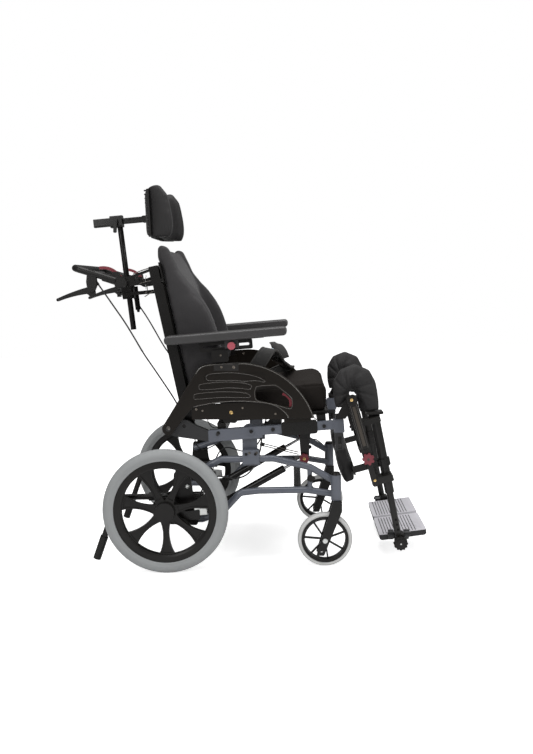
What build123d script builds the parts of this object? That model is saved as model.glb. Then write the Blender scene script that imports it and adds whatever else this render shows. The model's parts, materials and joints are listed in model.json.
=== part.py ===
"""Tilt-in-space comfort wheelchair with reclining back, elevating legrests and 16 inch wheels.

Frame: +X forward, +Y to the user's left, +Z up, millimetres. The origin is on the floor, midway
along the chair. Side profiles are drawn in planes whose first axis is the distance ahead of the
rear axle and whose second axis is the height above the floor. Right-hand pieces are modelled
and left-hand ones are mirrored from them.
"""

import os
from math import cos, pi, radians, sin, sqrt, tan

from build123d import *

os.makedirs("parts", exist_ok=True)

# ---------------------------------------------------------------- driving dimensions
rear_axle_x = -254.25  # the rear axle, seen from the middle of the chair's length
running_clearance = 0.05  # radial, between a pin and its bore
sliding_clearance = 0.4  # between a sliding piece and its guide
soft_gap = 0.5  # between a cushion and what it rests on

# Width: everything across the chair is set from its side frames
frame_half_width = 240.0  # chair's middle to the side frame's tubes

# Rear wheels
wheel_radius = 203.0
half_track = frame_half_width + 59.0  # chair's middle to the middle of a rear tyre
tyre_section = 19.0  # radius of the tyre's round section
rim_outer = 168.0
rim_inner = 142.0
rim_width = 30.0
spoke_count = 7
spoke_waist = 19.0
spoke_thickness = 16.0
hub_radius = 34.0
hub_width = 42.0
drum_radius = 43.0
drum_width = 14.0
axle_radius = 8.0

# Castors
castor_radius = 88.9
castor_tyre = 13.0  # radial thickness of the solid tyre
castor_width = 30.0
castor_spokes = 7
castor_trail = 39.0
castor_half_track = frame_half_width + 13.0
castor_stem_x = 550.0
stem_radius = 8.0
fork_leg_gap = 3.0  # between the tyre and a fork leg
fork_leg_thickness = 5.0
fork_leg_width = 25.0
fork_foot = 50.0  # how far the fork legs reach below the castor's axle
castor_axle_radius = 5.0

# Chassis
tube_radius = 11.0
upper_tube_z = 356.0
lower_tube_z = 250.0
housing_radius = 17.0
housing_low = 219.0
housing_high = 301.0
cross_tube_radius = 12.5
rear_cross_x = 128.0
rear_cross_z = 167.0
front_cross_x = 425.0
axle_plate_thickness = 6.0
receiver_radius = 14.0
receiver_z = 236.0
anti_tip_radius = 10.0
receiver_weld = 1.5  # how far the receiver is let into the axle plate
anti_tip_rear = 165.0  # how far behind the axle the anti-tipper turns down
anti_tip_foot_x = -244.0
anti_tip_foot_z = 32.0
upright_thickness = 8.0

# Seat frame: tilts about this pivot
tilt_pivot_x = 280.0
tilt_pivot_z = 445.0
seat_angle = 3.35
rail_width = 20.0
sleeve_rear = -137.0  # along the seat, from the tilt pivot
sleeve_front = 36.0
sleeve_low = -21.0
sleeve_high = 17.0
rail_front = 266.0
rail_low = -12.0
rail_high = 16.0
clamp_rear = 99.0
clamp_front = 214.0
clamp_overlap = 6.0
socket_length = 34.0
tilt_pin_radius = 7.0
seat_half_width = frame_half_width - 26.0
seat_board_low = 33.0  # above the tilt pivot, square to the seat
seat_board_thickness = 12.0
cushion_thickness = 96.0
cushion_rear = -105.0
cushion_front = 262.0

# Backrest: reclines about this pivot
recline_pivot_x = 64.0
recline_pivot_z = 469.0
back_angle = 10.4
back_tube_depth = 33.0
back_tube_width = 20.0
back_tube_length = 465.0  # from the recline pivot to the uprights' top blocks
back_half_width = frame_half_width - 25.0  # to the outer face of the back tubes
recline_pin_radius = 6.0
cushion_over_tube = 117.0  # how far the back cushion's top is above the uprights
back_cushion_height = back_tube_length + cushion_over_tube
back_pad_thickness = 62.0
wing_thickness = 52.0

# Headrest
post_radius = 9.5
head_bar_width = 14.0
head_bar_height = 20.0
head_half_width = 150.0
headrest_height = 157.0
headrest_gap = 32.157  # from the back cushion's top up to the headrest

# Push bar
push_pivot_behind = 99.823  # along the back's square, from the recline pivot's line to the bar's joint
push_pivot_over = 27.096  # from the uprights' top blocks up to the bar's joint
push_half_width = frame_half_width - 36.0
push_bar_behind = 157.0  # from its joint back to the bar
push_bar_above = 52.0
push_tube_radius = 11.0

# Armrests
arm_pivot_x = 15.0
arm_pivot_z = 464.0
panel_inner = frame_half_width + 15.0  # chair's middle to the inner face of a side panel
panel_thickness = 12.0
arm_pin_radius = 8.0
post_width = 36.0
arm_post_thickness = 11.0
arm_pad_length = 388.0
arm_pad_width = 72.0
arm_pad_thickness = 27.0

# Legrests
leg_half_width = frame_half_width - 5.0  # chair's middle to the legrest's tubes
swing_pin_x = 565.0
swing_pin_radius = 8.0
knee_x = 603.0
knee_z = 547.0
knee_pin_radius = 6.0
leg_profile_width = 30.0
leg_tube_radius = 15.0
foot_tube_radius = 11.0
footplate_slope = 6.6
footplate_rear = 693.0
footplate_length = 156.0
footplate_width = frame_half_width - 52.0
footplate_thickness = 20.0
footplate_top = 82.0  # height of the footplate's rear edge


# ---------------------------------------------------------------- planes and helpers
def side(y):
    """Side profile plane at y: first axis ahead of the rear axle, second axis height, normal to the right."""
    return Plane(origin=(rear_axle_x, y, 0), x_dir=(1, 0, 0), z_dir=(0, -1, 0))


def tilted(x, y, z, angle):
    """Plane like side(), but with its origin at a point and its first axis turned up by an angle."""
    rise = radians(angle)
    return Plane(origin=(rear_axle_x + x, y, z), x_dir=(cos(rise), 0, sin(rise)), z_dir=(0, -1, 0))


def seat(y):
    """Plane of the seat's side profiles: origin at the tilt pivot."""
    return tilted(tilt_pivot_x, y, tilt_pivot_z, seat_angle)


def back(y):
    """Plane of the back's side profiles: first axis forward from the recline pivot, second up the back."""
    return tilted(recline_pivot_x, y, recline_pivot_z, back_angle)


def seat_point(along, above):
    """A point given along and above the seat, as ahead of the rear axle and height."""
    rise = radians(seat_angle)
    return (
        tilt_pivot_x + along * cos(rise) - above * sin(rise),
        tilt_pivot_z + along * sin(rise) + above * cos(rise),
    )


def level(z):
    """Level plane at z, with its origin above the rear axle."""
    return Plane(origin=(rear_axle_x, 0, z), x_dir=(1, 0, 0), z_dir=(0, 0, 1))


def round_run(plane, points, bend, radius):
    """Adds a round tube along straight runs joined by bends."""
    with BuildLine(plane) as route:
        FilletPolyline(*points, radius=bend)
    with BuildSketch(Plane(origin=route.line @ 0, z_dir=route.line % 0)) as section:
        Circle(radius)
    sweep(section.sketch, path=route.line)


def cross_pin(plane, point, radius, length, mode=Mode.ADD):
    """Adds or cuts a round bar that starts on a plane at a point and runs along its normal."""
    with BuildSketch(plane) as section:
        with Locations(point):
            Circle(radius)
    extrude(section.sketch, amount=length, mode=mode)


def block(plane, low, high, length, corner=0.0, mode=Mode.ADD):
    """Adds or cuts a block: a rectangle between two points of a plane, run along the plane's normal."""
    width = high[0] - low[0]
    height = high[1] - low[1]
    with BuildSketch(plane) as section:
        with Locations(((low[0] + high[0]) / 2, (low[1] + high[1]) / 2)):
            if corner:
                RectangleRounded(width, height, corner)
            else:
                Rectangle(width, height)
    extrude(section.sketch, amount=length, mode=mode)


def plate(plane, points, thickness, corner=0.0, mode=Mode.ADD):
    """Adds or cuts a flat piece with straight edges and rounded corners."""
    with BuildSketch(plane) as outline:
        with BuildLine():
            Polyline(*points, close=True)
        make_face()
        if corner:
            fillet(vertices(), corner)
    extrude(outline.sketch, amount=thickness, mode=mode)


def mirrored(part):
    """The left-hand copy of a right-hand piece."""
    return mirror(part, about=Plane.XZ)


def keep(part, name):
    """Labels one node's solids and writes them."""
    part.label = name
    export_step(part, f"parts/{name}.step")


def keep_pair(part, name):
    """Writes a right-hand piece and its mirrored copy as two nodes."""
    keep(part, f"{name}_right")
    keep(mirrored(part), f"{name}_left")


def keep_both(part, name):
    """Writes a right-hand piece and its mirrored copy as one node."""
    keep(Compound(children=[*part.solids(), *mirrored(part).solids()]), name)


# ---------------------------------------------------------------- rear wheels
wheel_centre = (rear_axle_x, -half_track, wheel_radius)
wheel_axis = Axis(wheel_centre, (0, -1, 0))
wheel_section = Plane(origin=wheel_centre, x_dir=(1, 0, 0), z_dir=(0, 0, 1))
rim_seat_half = sqrt(tyre_section**2 - (wheel_radius - tyre_section - rim_outer) ** 2)

with BuildPart() as tyre:
    with BuildSketch(wheel_section):
        with Locations((wheel_radius - tyre_section, 0)):
            Circle(tyre_section)
        with Locations((rim_outer / 2, 0)):
            Rectangle(rim_outer, 4 * tyre_section, mode=Mode.SUBTRACT)
    revolve(axis=wheel_axis)
keep_pair(tyre.part, "tyre")

spoke_foot = 24.0  # where a spoke leaves the hub, inside the hub's own radius
spoke_waist_at = 84.0
spoke_foot_half = 19.0
spoke_head_half = 28.0
spoke_edge = 9.0  # width of the raised edge along a spoke
spoke_pocket = 3.0


def spoke_outline(low, high, foot_half, waist_half, head_half):
    """A spoke from the hub outward: narrowest halfway and widest at the rim."""
    with BuildSketch() as outline:
        with BuildLine():
            low_edge = ThreePointArc((low, -foot_half), (spoke_waist_at, -waist_half), (high, -head_half))
            high_edge = ThreePointArc((low, foot_half), (spoke_waist_at, waist_half), (high, head_half))
            Line(low_edge @ 0, high_edge @ 0)
            Line(low_edge @ 1, high_edge @ 1)
        make_face()
    return outline.sketch


spoke = spoke_outline(spoke_foot, rim_inner + 4, spoke_foot_half, spoke_waist / 2, spoke_head_half)
pocket = spoke_outline(
    hub_radius + spoke_edge,
    rim_inner - spoke_edge + 3,
    spoke_foot_half - spoke_edge,
    spoke_waist / 2 - 4,
    spoke_head_half - spoke_edge - 2,
)
wheel_face = Plane(wheel_centre, x_dir=(0, 0, -1), z_dir=(0, -1, 0))
with BuildPart() as wheel:
    with BuildSketch(wheel_section):
        with BuildLine():
            Polyline(
                (rim_outer, -rim_seat_half),
                (rim_outer - 3, -rim_seat_half - 4),
                (rim_inner + 6, -rim_width / 2),
                (rim_inner, -rim_width / 2 + 4),
                (rim_inner + 3, 0),
                (rim_inner, rim_width / 2 - 4),
                (rim_inner + 6, rim_width / 2),
                (rim_outer - 3, rim_seat_half + 4),
                (rim_outer, rim_seat_half),
                close=True,
            )
        make_face()
    revolve(axis=wheel_axis)
    with BuildSketch(wheel_face.offset(-spoke_thickness / 2)):
        with PolarLocations(0, spoke_count):
            add(spoke)
    extrude(amount=spoke_thickness)
    # A shallow pocket along each spoke's outer face leaves a raised edge.
    with BuildSketch(wheel_face.offset(spoke_thickness / 2 - spoke_pocket)):
        with PolarLocations(0, spoke_count):
            add(pocket)
    extrude(amount=2 * spoke_pocket, mode=Mode.SUBTRACT)
    with BuildSketch(wheel_face.offset(-hub_width / 2)):
        Circle(hub_radius)
    extrude(amount=hub_width, taper=4)
    # The brake drum is the hub's inner flange.
    with BuildSketch(wheel_face.offset(-hub_width / 2)):
        Circle(drum_radius)
    extrude(amount=drum_width)
    with BuildSketch(wheel_face.offset(-hub_width / 2)):
        Circle(axle_radius + running_clearance)
    extrude(amount=hub_width - 10, mode=Mode.SUBTRACT)
keep_pair(wheel.part, "wheel")

# ---------------------------------------------------------------- castors
castor_x = castor_stem_x - castor_trail
castor_centre = (rear_axle_x + castor_x, -castor_half_track, castor_radius)
castor_axis = Axis(castor_centre, (0, -1, 0))
castor_section = Plane(origin=castor_centre, x_dir=(1, 0, 0), z_dir=(0, 0, 1))
castor_face = Plane(origin=castor_centre, x_dir=(1, 0, 0), z_dir=(0, -1, 0))
castor_rim = castor_radius - castor_tyre
leg_inner = castor_width / 2 + fork_leg_gap

with BuildPart() as castor_tyre_part:
    with BuildSketch(castor_section):
        with Locations(((castor_rim + castor_radius) / 2, 0)):
            RectangleRounded(castor_tyre, castor_width - 4, castor_tyre / 2 - 0.5)
        with Locations((castor_rim / 2, 0)):
            Rectangle(castor_rim, castor_width, mode=Mode.SUBTRACT)
    revolve(axis=castor_axis)
keep_pair(castor_tyre_part.part, "castor_tyre")

with BuildPart() as castor_wheel:
    with BuildSketch(castor_section):
        with Locations((castor_rim - 5, 0)):
            Rectangle(10, castor_width - 6)
    revolve(axis=castor_axis)
    with BuildSketch(castor_face.offset(-4)):
        Circle(15)
        with PolarLocations(0, castor_spokes, start_angle=20):
            with Locations((castor_rim / 2, 0)):
                Rectangle(castor_rim - 8, 5)
    extrude(amount=8)
    with BuildSketch(castor_face.offset(-castor_width / 2)):
        Circle(14)
    extrude(amount=castor_width)
    with BuildSketch(castor_face.offset(-castor_width / 2)):
        Circle(castor_axle_radius + running_clearance)
    extrude(amount=castor_width, mode=Mode.SUBTRACT)
keep_pair(castor_wheel.part, "castor_wheel")

fork_crown_high = housing_low - 1.0
fork_crown_low = 2 * castor_radius + 14.0
leg_lean = 0.34  # how far forward a fork leg goes for each millimetre up
leg_top_x = castor_x + leg_lean * (fork_crown_high - castor_radius)
leg_foot_x = castor_x - leg_lean * fork_foot
castor_mid = side(-castor_half_track)
with BuildPart() as castor_fork:
    for leg_plane in (castor_mid.offset(leg_inner), castor_mid.offset(-leg_inner - fork_leg_thickness)):
        plate(
            leg_plane,
            (
                (leg_foot_x - fork_leg_width / 2, castor_radius - fork_foot),
                (leg_foot_x + fork_leg_width / 2, castor_radius - fork_foot),
                (leg_top_x + fork_leg_width / 2, fork_crown_low - 6),
                (leg_top_x + fork_leg_width / 2, fork_crown_high),
                (leg_top_x - fork_leg_width / 2 - 4, fork_crown_high),
            ),
            fork_leg_thickness,
            corner=3,
        )
    block(
        castor_mid.offset(-leg_inner - fork_leg_thickness),
        (leg_top_x - fork_leg_width / 2 - 2, fork_crown_low),
        (leg_top_x + fork_leg_width / 2, fork_crown_high),
        2 * (leg_inner + fork_leg_thickness),
        corner=5,
    )
    cross_pin(
        level(fork_crown_low + 2),
        (castor_stem_x, -castor_half_track),
        stem_radius,
        housing_high - fork_crown_low - 8,
    )
    # The axle bolt runs through both legs, with a head and a nut; a second hole is left free below it.
    cross_pin(
        castor_mid.offset(-leg_inner - fork_leg_thickness),
        (castor_x, castor_radius),
        castor_axle_radius,
        2 * (leg_inner + fork_leg_thickness),
    )
    for head_plane in (
        castor_mid.offset(leg_inner + fork_leg_thickness),
        castor_mid.offset(-leg_inner - fork_leg_thickness - 4),
    ):
        cross_pin(head_plane, (castor_x, castor_radius), 8, 4)
    cross_pin(
        castor_mid.offset(-leg_inner - fork_leg_thickness),
        (leg_foot_x + 5, castor_radius - fork_foot + 14),
        3.5,
        2 * (leg_inner + fork_leg_thickness),
        mode=Mode.SUBTRACT,
    )
keep_pair(castor_fork.part, "castor_fork")

# ---------------------------------------------------------------- chassis
frame_mid = side(-frame_half_width)
post_rear = 250.0
post_front = 298.0
post_low = upper_tube_z - tube_radius - 14
with BuildPart() as side_frame:
    round_run(
        frame_mid,
        (
            (30, 298),
            (112, 322),
            (176, upper_tube_z),
            (350, upper_tube_z),
            (467, 325),
            (castor_stem_x - 10, 281),
        ),
        38,
        tube_radius,
    )
    round_run(
        frame_mid,
        (
            (10, 160),
            (112, 158),
            (180, 184),
            (238, lower_tube_z - 6),
            (300, lower_tube_z),
            (455, lower_tube_z),
            (castor_stem_x - 6, 234),
        ),
        30,
        tube_radius,
    )
    with BuildSketch(level(housing_low)):
        with Locations((castor_stem_x, -castor_half_track)):
            Circle(housing_radius)
    extrude(amount=housing_high - housing_low)
    cross_pin(level(lower_tube_z), (466, -frame_half_width), 8, 325 - lower_tube_z)
    # The upright is a plate inside the upper tube, on a saddle that wraps the tube.
    with BuildSketch(side(-frame_half_width + tube_radius + upright_thickness)):
        with BuildLine():
            Polyline(
                (post_rear - 2, post_low),
                (post_front + 8, post_low),
                (post_front + 8, upper_tube_z + 16),
                (post_front, upper_tube_z + 20),
                (post_front, tilt_pivot_z),
            )
            ThreePointArc(
                (post_front, tilt_pivot_z),
                ((post_rear + post_front) / 2, tilt_pivot_z + (post_front - post_rear) / 2),
                (post_rear, tilt_pivot_z),
            )
            Polyline((post_rear, tilt_pivot_z), (post_rear - 2, post_low))
        make_face()
    extrude(amount=upright_thickness)
    block(
        side(-frame_half_width + tube_radius),
        (post_rear, upper_tube_z - tube_radius - 4),
        (post_front + 6, upper_tube_z + tube_radius + 20),
        2 * tube_radius + 4,
        corner=3,
    )
    cross_pin(
        side(-frame_half_width + 30),
        (tilt_pivot_x, tilt_pivot_z),
        tilt_pin_radius + running_clearance,
        30,
        mode=Mode.SUBTRACT,
    )
    cross_pin(
        level(housing_low),
        (castor_stem_x, -castor_half_track),
        stem_radius + running_clearance,
        housing_high - housing_low,
        mode=Mode.SUBTRACT,
    )
keep_both(side_frame.part, "side_frames")

strut_y = 176.0  # chair's middle to a tilt strut
strut_foot_x = rear_cross_x + 26.0
strut_foot_z = rear_cross_z + 16.0
strut_eye_radius = 9.0
strut_pin_radius = 4.0
strut_width = 14.0
with BuildPart() as cross_tubes:
    tube_span = 2 * (frame_half_width - tube_radius + 3)
    for at_x, at_z in ((rear_cross_x, rear_cross_z), (front_cross_x, lower_tube_z)):
        cross_pin(side(tube_span / 2), (at_x, at_z), cross_tube_radius, tube_span)
    # Two pairs of ears on the rear cross tube carry the tilt struts' feet.
    for strut_at in (strut_y, -strut_y):
        for ear_at in (strut_at + strut_width / 2 + 5.5, strut_at - strut_width / 2 - 0.5):
            plate(
                side(ear_at),
                (
                    (rear_cross_x - 8, rear_cross_z - 10),
                    (rear_cross_x + 8, rear_cross_z - 10),
                    (strut_foot_x + 10, strut_foot_z - 6),
                    (strut_foot_x + 10, strut_foot_z + 10),
                    (strut_foot_x - 10, strut_foot_z + 10),
                    (rear_cross_x - 8, rear_cross_z + 10),
                ),
                5,
                corner=4,
            )
        cross_pin(
            side(strut_at + strut_width / 2 + 5.5),
            (strut_foot_x, strut_foot_z),
            strut_pin_radius,
            strut_width + 11,
        )
    # The tubes' ends are coped to the side frames they are welded to.
    add(side_frame.part, mode=Mode.SUBTRACT)
    add(mirrored(side_frame.part), mode=Mode.SUBTRACT)
keep(cross_tubes.part, "cross_tubes")

plate_face = side(-frame_half_width - tube_radius)
anti_tip_y = frame_half_width + tube_radius - receiver_radius + receiver_weld
with BuildPart() as axle_plate:
    plate(
        plate_face,
        (
            (-28, 186),
            (-10, 148),
            (96, 142),
            (104, 176),
            (84, 260),
            (78, 318),
            (26, 322),
            (20, 262),
            (-24, 236),
        ),
        axle_plate_thickness,
        corner=9,
    )
    # Adjustment holes for other axle heights.
    for hole_x, hole_z in ((0, 232), (34, 203), (34, 232)):
        cross_pin(plate_face, (hole_x, hole_z), 7, axle_plate_thickness, mode=Mode.SUBTRACT)
    # The wheel's axle runs out of the plate; its head is on the inner side.
    cross_pin(
        plate_face,
        (0, wheel_radius),
        axle_radius,
        half_track + hub_width / 2 - frame_half_width - tube_radius - 11,
    )
    cross_pin(plate_face.offset(-6), (0, wheel_radius), 13, 6)
    # The anti-tipper's receiver is welded to the plate's inner face.
    receiver_plane = Plane(
        origin=(rear_axle_x - 62, -anti_tip_y, receiver_z), z_dir=(1, 0, 0)
    )
    with BuildSketch(receiver_plane):
        Circle(receiver_radius)
        Circle(anti_tip_radius + running_clearance, mode=Mode.SUBTRACT)
    extrude(amount=180)
    with BuildSketch(plate_face):
        for bolt_x, bolt_z in ((40, 300), (66, 300), (64, 153), (88, 153)):
            with Locations((bolt_x, bolt_z)):
                RegularPolygon(7, 6)
    extrude(amount=axle_plate_thickness + 4)
keep_both(axle_plate.part, "axle_plates")

# Drum brakes: a backing plate between the axle plate and the wheel's drum, with a cable lever.
brake_gap = 1.0
backing_outer = half_track - hub_width / 2 - brake_gap
backing_inner = frame_half_width + tube_radius + axle_plate_thickness
brake_arm_x = 92.0
brake_arm_z = 186.0
with BuildPart() as drum_brake:
    with BuildSketch(side(-backing_inner)):
        with Locations((0, wheel_radius)):
            Circle(drum_radius + 3)
            Circle(axle_radius, mode=Mode.SUBTRACT)
    extrude(amount=backing_outer - backing_inner)
    plate(
        side(-backing_inner),
        (
            (30, wheel_radius - 24),
            (66, brake_arm_z - 20),
            (brake_arm_x + 16, brake_arm_z - 20),
            (brake_arm_x + 16, brake_arm_z + 14),
            (62, brake_arm_z + 8),
            (36, wheel_radius + 12),
        ),
        backing_outer - backing_inner - 2,
        corner=5,
    )
    cross_pin(side(-backing_inner), (56, brake_arm_z - 4), 5, 12)
keep_both(drum_brake.part, "drum_brakes")

# Anti-tippers: a tube that turns down behind the wheel and ends in a rubber sleeve.
with BuildPart() as anti_tip:
    anti_tip_plane = side(-anti_tip_y)
    round_run(
        anti_tip_plane,
        ((112, receiver_z), (-anti_tip_rear, receiver_z), (anti_tip_foot_x, anti_tip_foot_z)),
        46,
        anti_tip_radius,
    )
    foot_run = Vector(anti_tip_foot_x + anti_tip_rear, 0, anti_tip_foot_z - receiver_z).normalized()
    foot_end = Vector(rear_axle_x + anti_tip_foot_x, -anti_tip_y, anti_tip_foot_z)
    with BuildSketch(Plane(origin=foot_end, z_dir=-foot_run).offset(-2)):
        Circle(anti_tip_radius + 3)
    extrude(amount=80)
keep_pair(anti_tip.part, "anti_tip")

with BuildPart() as frame_fittings:
    # Dust cap on the castor's housing.
    with BuildSketch(level(housing_high)):
        with Locations((castor_stem_x, -castor_half_track)):
            Circle(housing_radius - 1)
    extrude(amount=8, taper=25)
    # Round plug at the link tube and the two saddle screws.
    plug_y = frame_half_width + 8
    cross_pin(side(-plug_y), (466, 290), 9, 6)
    for screw_x in (post_rear + 12, post_front - 6):
        cross_pin(side(-frame_half_width - tube_radius - 4), (screw_x, upper_tube_z + 18), 4.5, 3)
keep_both(frame_fittings.part, "frame_fittings")

# ---------------------------------------------------------------- seat frame
rail_inner = seat(-frame_half_width + rail_width / 2)
with BuildPart() as seat_rail:
    block(rail_inner, (sleeve_rear, sleeve_low), (sleeve_front, sleeve_high), rail_width, corner=4)
    block(rail_inner, (sleeve_front, rail_low), (rail_front, rail_high), rail_width, corner=3)
    # The tilt pivot's pin runs inward through the chassis upright, with a head outside the sleeve.
    pin_face = seat(-frame_half_width + rail_width / 2 + upright_thickness + 4)
    cross_pin(pin_face, (0, 0), tilt_pin_radius, rail_width)
    cross_pin(seat(-frame_half_width - rail_width / 2), (0, 0), 10, 4)
    # Profile screws along the rail.
    for screw_u in (sleeve_rear + 28, sleeve_front + 34, rail_front - 30):
        cross_pin(seat(-frame_half_width - rail_width / 2), (screw_u, 1), 4.5, 3)

socket_rear = rail_front
socket_front = rail_front + socket_length
with BuildPart() as legrest_socket:
    block(seat(-frame_half_width + 12), (socket_rear, -24), (socket_front, 20), 24, corner=4)
    # The socket's lower guide plate hangs below the block.
    block(seat(-frame_half_width + 6), (socket_rear + 2, -82), (socket_front - 6, -24), 12, corner=3)
    block(seat(-frame_half_width + 12), (socket_rear + 3, -36), (socket_front - 4, -22), 24)
    cross_pin(
        level(380),
        (swing_pin_x, -frame_half_width),
        swing_pin_radius + running_clearance,
        140,
        mode=Mode.SUBTRACT,
    )

casting_outer = frame_half_width + rail_width / 2 - 2
casting_thickness = rail_width - 4
with BuildPart() as recline_plate:
    with BuildSketch(side(-casting_outer + casting_thickness)):
        with BuildLine():
            Polyline(
                (arm_pivot_x - 12, arm_pivot_z - 10),
                (26, 437),
                seat_point(sleeve_rear, sleeve_low + 1),
                seat_point(sleeve_rear, sleeve_high - 1),
                (104, 470),
                (76, 488),
                (52, 491),
                (arm_pivot_x - 6, arm_pivot_z + 15),
                close=True,
            )
        make_face()
        fillet(vertices().sort_by(Axis.X)[:2], 9)
    extrude(amount=casting_thickness)
    # Boss and pin that the armrest swings on.
    cross_pin(side(-casting_outer), (arm_pivot_x, arm_pivot_z), 13, panel_inner - casting_outer - 0.5)
    arm_pin_length = panel_inner - casting_outer + panel_thickness + 1
    cross_pin(side(-casting_outer), (arm_pivot_x, arm_pivot_z), arm_pin_radius, arm_pin_length)
    cross_pin(
        side(-casting_outer + casting_thickness + 1),
        (recline_pivot_x, recline_pivot_z),
        recline_pin_radius + running_clearance,
        casting_thickness + 2,
        mode=Mode.SUBTRACT,
    )
with BuildPart() as rail_assembly:
    add(seat_rail.part)
    add(legrest_socket.part)
    add(recline_plate.part)
keep_both(rail_assembly.part, "seat_rails")

strut_head_x = 451.0
strut_head_z = 345.0
recline_strut_x = 300.0
recline_strut_z = 398.0
recline_strut_width = 12.0
bar_half = frame_half_width - rail_width / 2
clamp_high = rail_high + clamp_overlap
with BuildPart() as seat_base:
    # Clamps that hold the seat board on the two rails.
    for clamp_start in (rail_inner, seat(frame_half_width + rail_width / 2 + 3)):
        block(clamp_start, (clamp_rear, rail_low - 8), (clamp_front, clamp_high), rail_width + 3, corner=8)
    for rail_start in (rail_inner, seat(frame_half_width + rail_width / 2)):
        rail_hole = ((clamp_rear - 1, rail_low), (clamp_front + 1, rail_high))
        block(rail_start, *rail_hole, rail_width, mode=Mode.SUBTRACT)
    block(seat(205), (-95, seat_board_low), (255, seat_board_low + seat_board_thickness), 410, corner=5)
    for bar_u in (-95, 85, 178, 230):
        block(seat(bar_half), (bar_u - 14, 5), (bar_u + 14, seat_board_low + 1), 2 * bar_half)
    # Tabs under the rear bar that the cables are tied to.
    for tab_at in (-190.5, 197.5):
        block(side(tab_at), (180, 419.0), (188, 450), 7)
    # Triangular ears carry the heads of the tilt struts.
    for strut_at in (strut_y, -strut_y):
        for ear_at in (strut_at + strut_width / 2 + 5.5, strut_at - strut_width / 2 - 0.5):
            plate(
                side(ear_at),
                (
                    (strut_head_x - 11, strut_head_z - 9),
                    (strut_head_x + 11, strut_head_z - 9),
                    (strut_head_x + 26, strut_head_z + 120),
                    (strut_head_x - 8, strut_head_z + 120),
                    (strut_head_x - 15, strut_head_z + 50),
                ),
                5,
                corner=5,
            )
        cross_pin(
            side(strut_at + strut_width / 2 + 5.5),
            (strut_head_x, strut_head_z),
            strut_pin_radius,
            strut_width + 11,
        )
    # Ears under the middle bar carry the recline strut.
    for ear_at in (recline_strut_width / 2 + 5.5, -recline_strut_width / 2 - 0.5):
        plate(
            side(ear_at),
            (
                (recline_strut_x - 10, recline_strut_z - 10),
                (recline_strut_x + 10, recline_strut_z - 10),
                (recline_strut_x + 76, recline_strut_z + 62),
                (recline_strut_x + 56, recline_strut_z + 62),
                (recline_strut_x - 10, recline_strut_z + 10),
            ),
            5,
            corner=4,
        )
    cross_pin(
        side(recline_strut_width / 2 + 5.5),
        (recline_strut_x, recline_strut_z),
        strut_pin_radius,
        recline_strut_width + 11,
    )
keep(seat_base.part, "seat_base")

seat_top = seat_board_low + seat_board_thickness + soft_gap + cushion_thickness
with BuildPart() as seat_cushion:
    with BuildSketch(seat(seat_half_width)):
        with BuildLine():
            Polyline(
                (cushion_rear, seat_top - cushion_thickness),
                (cushion_front - 6, seat_top - cushion_thickness),
                (cushion_front, seat_top - 34),
            )
            ThreePointArc(
                (cushion_front, seat_top - 34),
                (cushion_front - 9, seat_top - 9),
                (cushion_front - 34, seat_top),
            )
            Polyline(
                (cushion_front - 34, seat_top),
                (cushion_rear + 120, seat_top - 8),
                (cushion_rear, seat_top - 4),
                (cushion_rear, seat_top - cushion_thickness),
            )
        make_face()
    extrude(amount=2 * seat_half_width)
keep(seat_cushion.part, "seat_cushion")

belt_x = tilt_pivot_x + 63
belt_width = 44.0
belt_face = Plane(origin=(rear_axle_x + belt_x, 0, 0), x_dir=(0, 1, 0), z_dir=(1, 0, 0))
belt_foot_z = seat_point(99, seat_board_low + 1)[1] + 0.3  # stands on the seat's cross bar
belt_half = seat_half_width + 2.5  # chair's middle to the belt's inner face beside the cushion
belt_thickness = 5.0
belt_bend_z = 598.0  # where the belt leaves the cushion's side


def belt_point(hand, inset, z):
    """A point of the belt's outline, at a distance in from its upright end, on the left or right."""
    return (hand * (belt_half - inset), z)


with BuildPart() as lap_belt:
    for hand in (1, -1):
        inner_foot = belt_point(hand, 0, belt_foot_z)
        inner_bend = belt_point(hand, 0, belt_bend_z)
        inner_shoulder = belt_point(hand, 66.5, belt_bend_z + 50)
        inner_end = (hand * 30, belt_bend_z + 66)
        outer_end = (hand * 30, belt_bend_z + 76)
        outer_shoulder = belt_point(hand, 63.5, belt_bend_z + 60)
        outer_bend = belt_point(hand, -belt_thickness, belt_bend_z)
        outer_foot = belt_point(hand, -belt_thickness, belt_foot_z)
        with BuildSketch(belt_face):
            with BuildLine():
                Line(inner_foot, inner_bend)
                ThreePointArc(inner_bend, belt_point(hand, 20.5, belt_bend_z + 34), inner_shoulder)
                ThreePointArc(inner_shoulder, belt_point(hand, 121.5, belt_bend_z + 62), inner_end)
                Line(inner_end, outer_end)
                ThreePointArc(outer_end, belt_point(hand, 119.5, belt_bend_z + 72), outer_shoulder)
                ThreePointArc(outer_shoulder, belt_point(hand, 12.5, belt_bend_z + 42), outer_bend)
                Polyline(outer_bend, outer_foot, inner_foot)
            make_face()
        extrude(amount=belt_width)
    block(belt_face.offset(-2), (-29.5, belt_bend_z + 60), (29.5, belt_bend_z + 79), belt_width + 4, corner=5)
keep(lap_belt.part, "lap_belt")

# ---------------------------------------------------------------- gas struts
strut_angle = Vector(strut_head_x - strut_foot_x, strut_head_z - strut_foot_z, 0)
strut_length = strut_angle.length
strut_radius = 12.0
strut_rod_radius = 5.0
strut_body_length = 262.0
strut_rod_inside = 110.0
strut_eye_clearance = 1.6  # at the open pivot of each strut's linkage
strut_dir = Vector(strut_head_x - strut_foot_x, 0, strut_head_z - strut_foot_z).normalized()


def strut_plane(y, start_x, start_z, run):
    """Plane across a strut, with its normal along the strut."""
    return Plane(origin=(rear_axle_x + start_x, y, start_z), z_dir=run)


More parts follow.
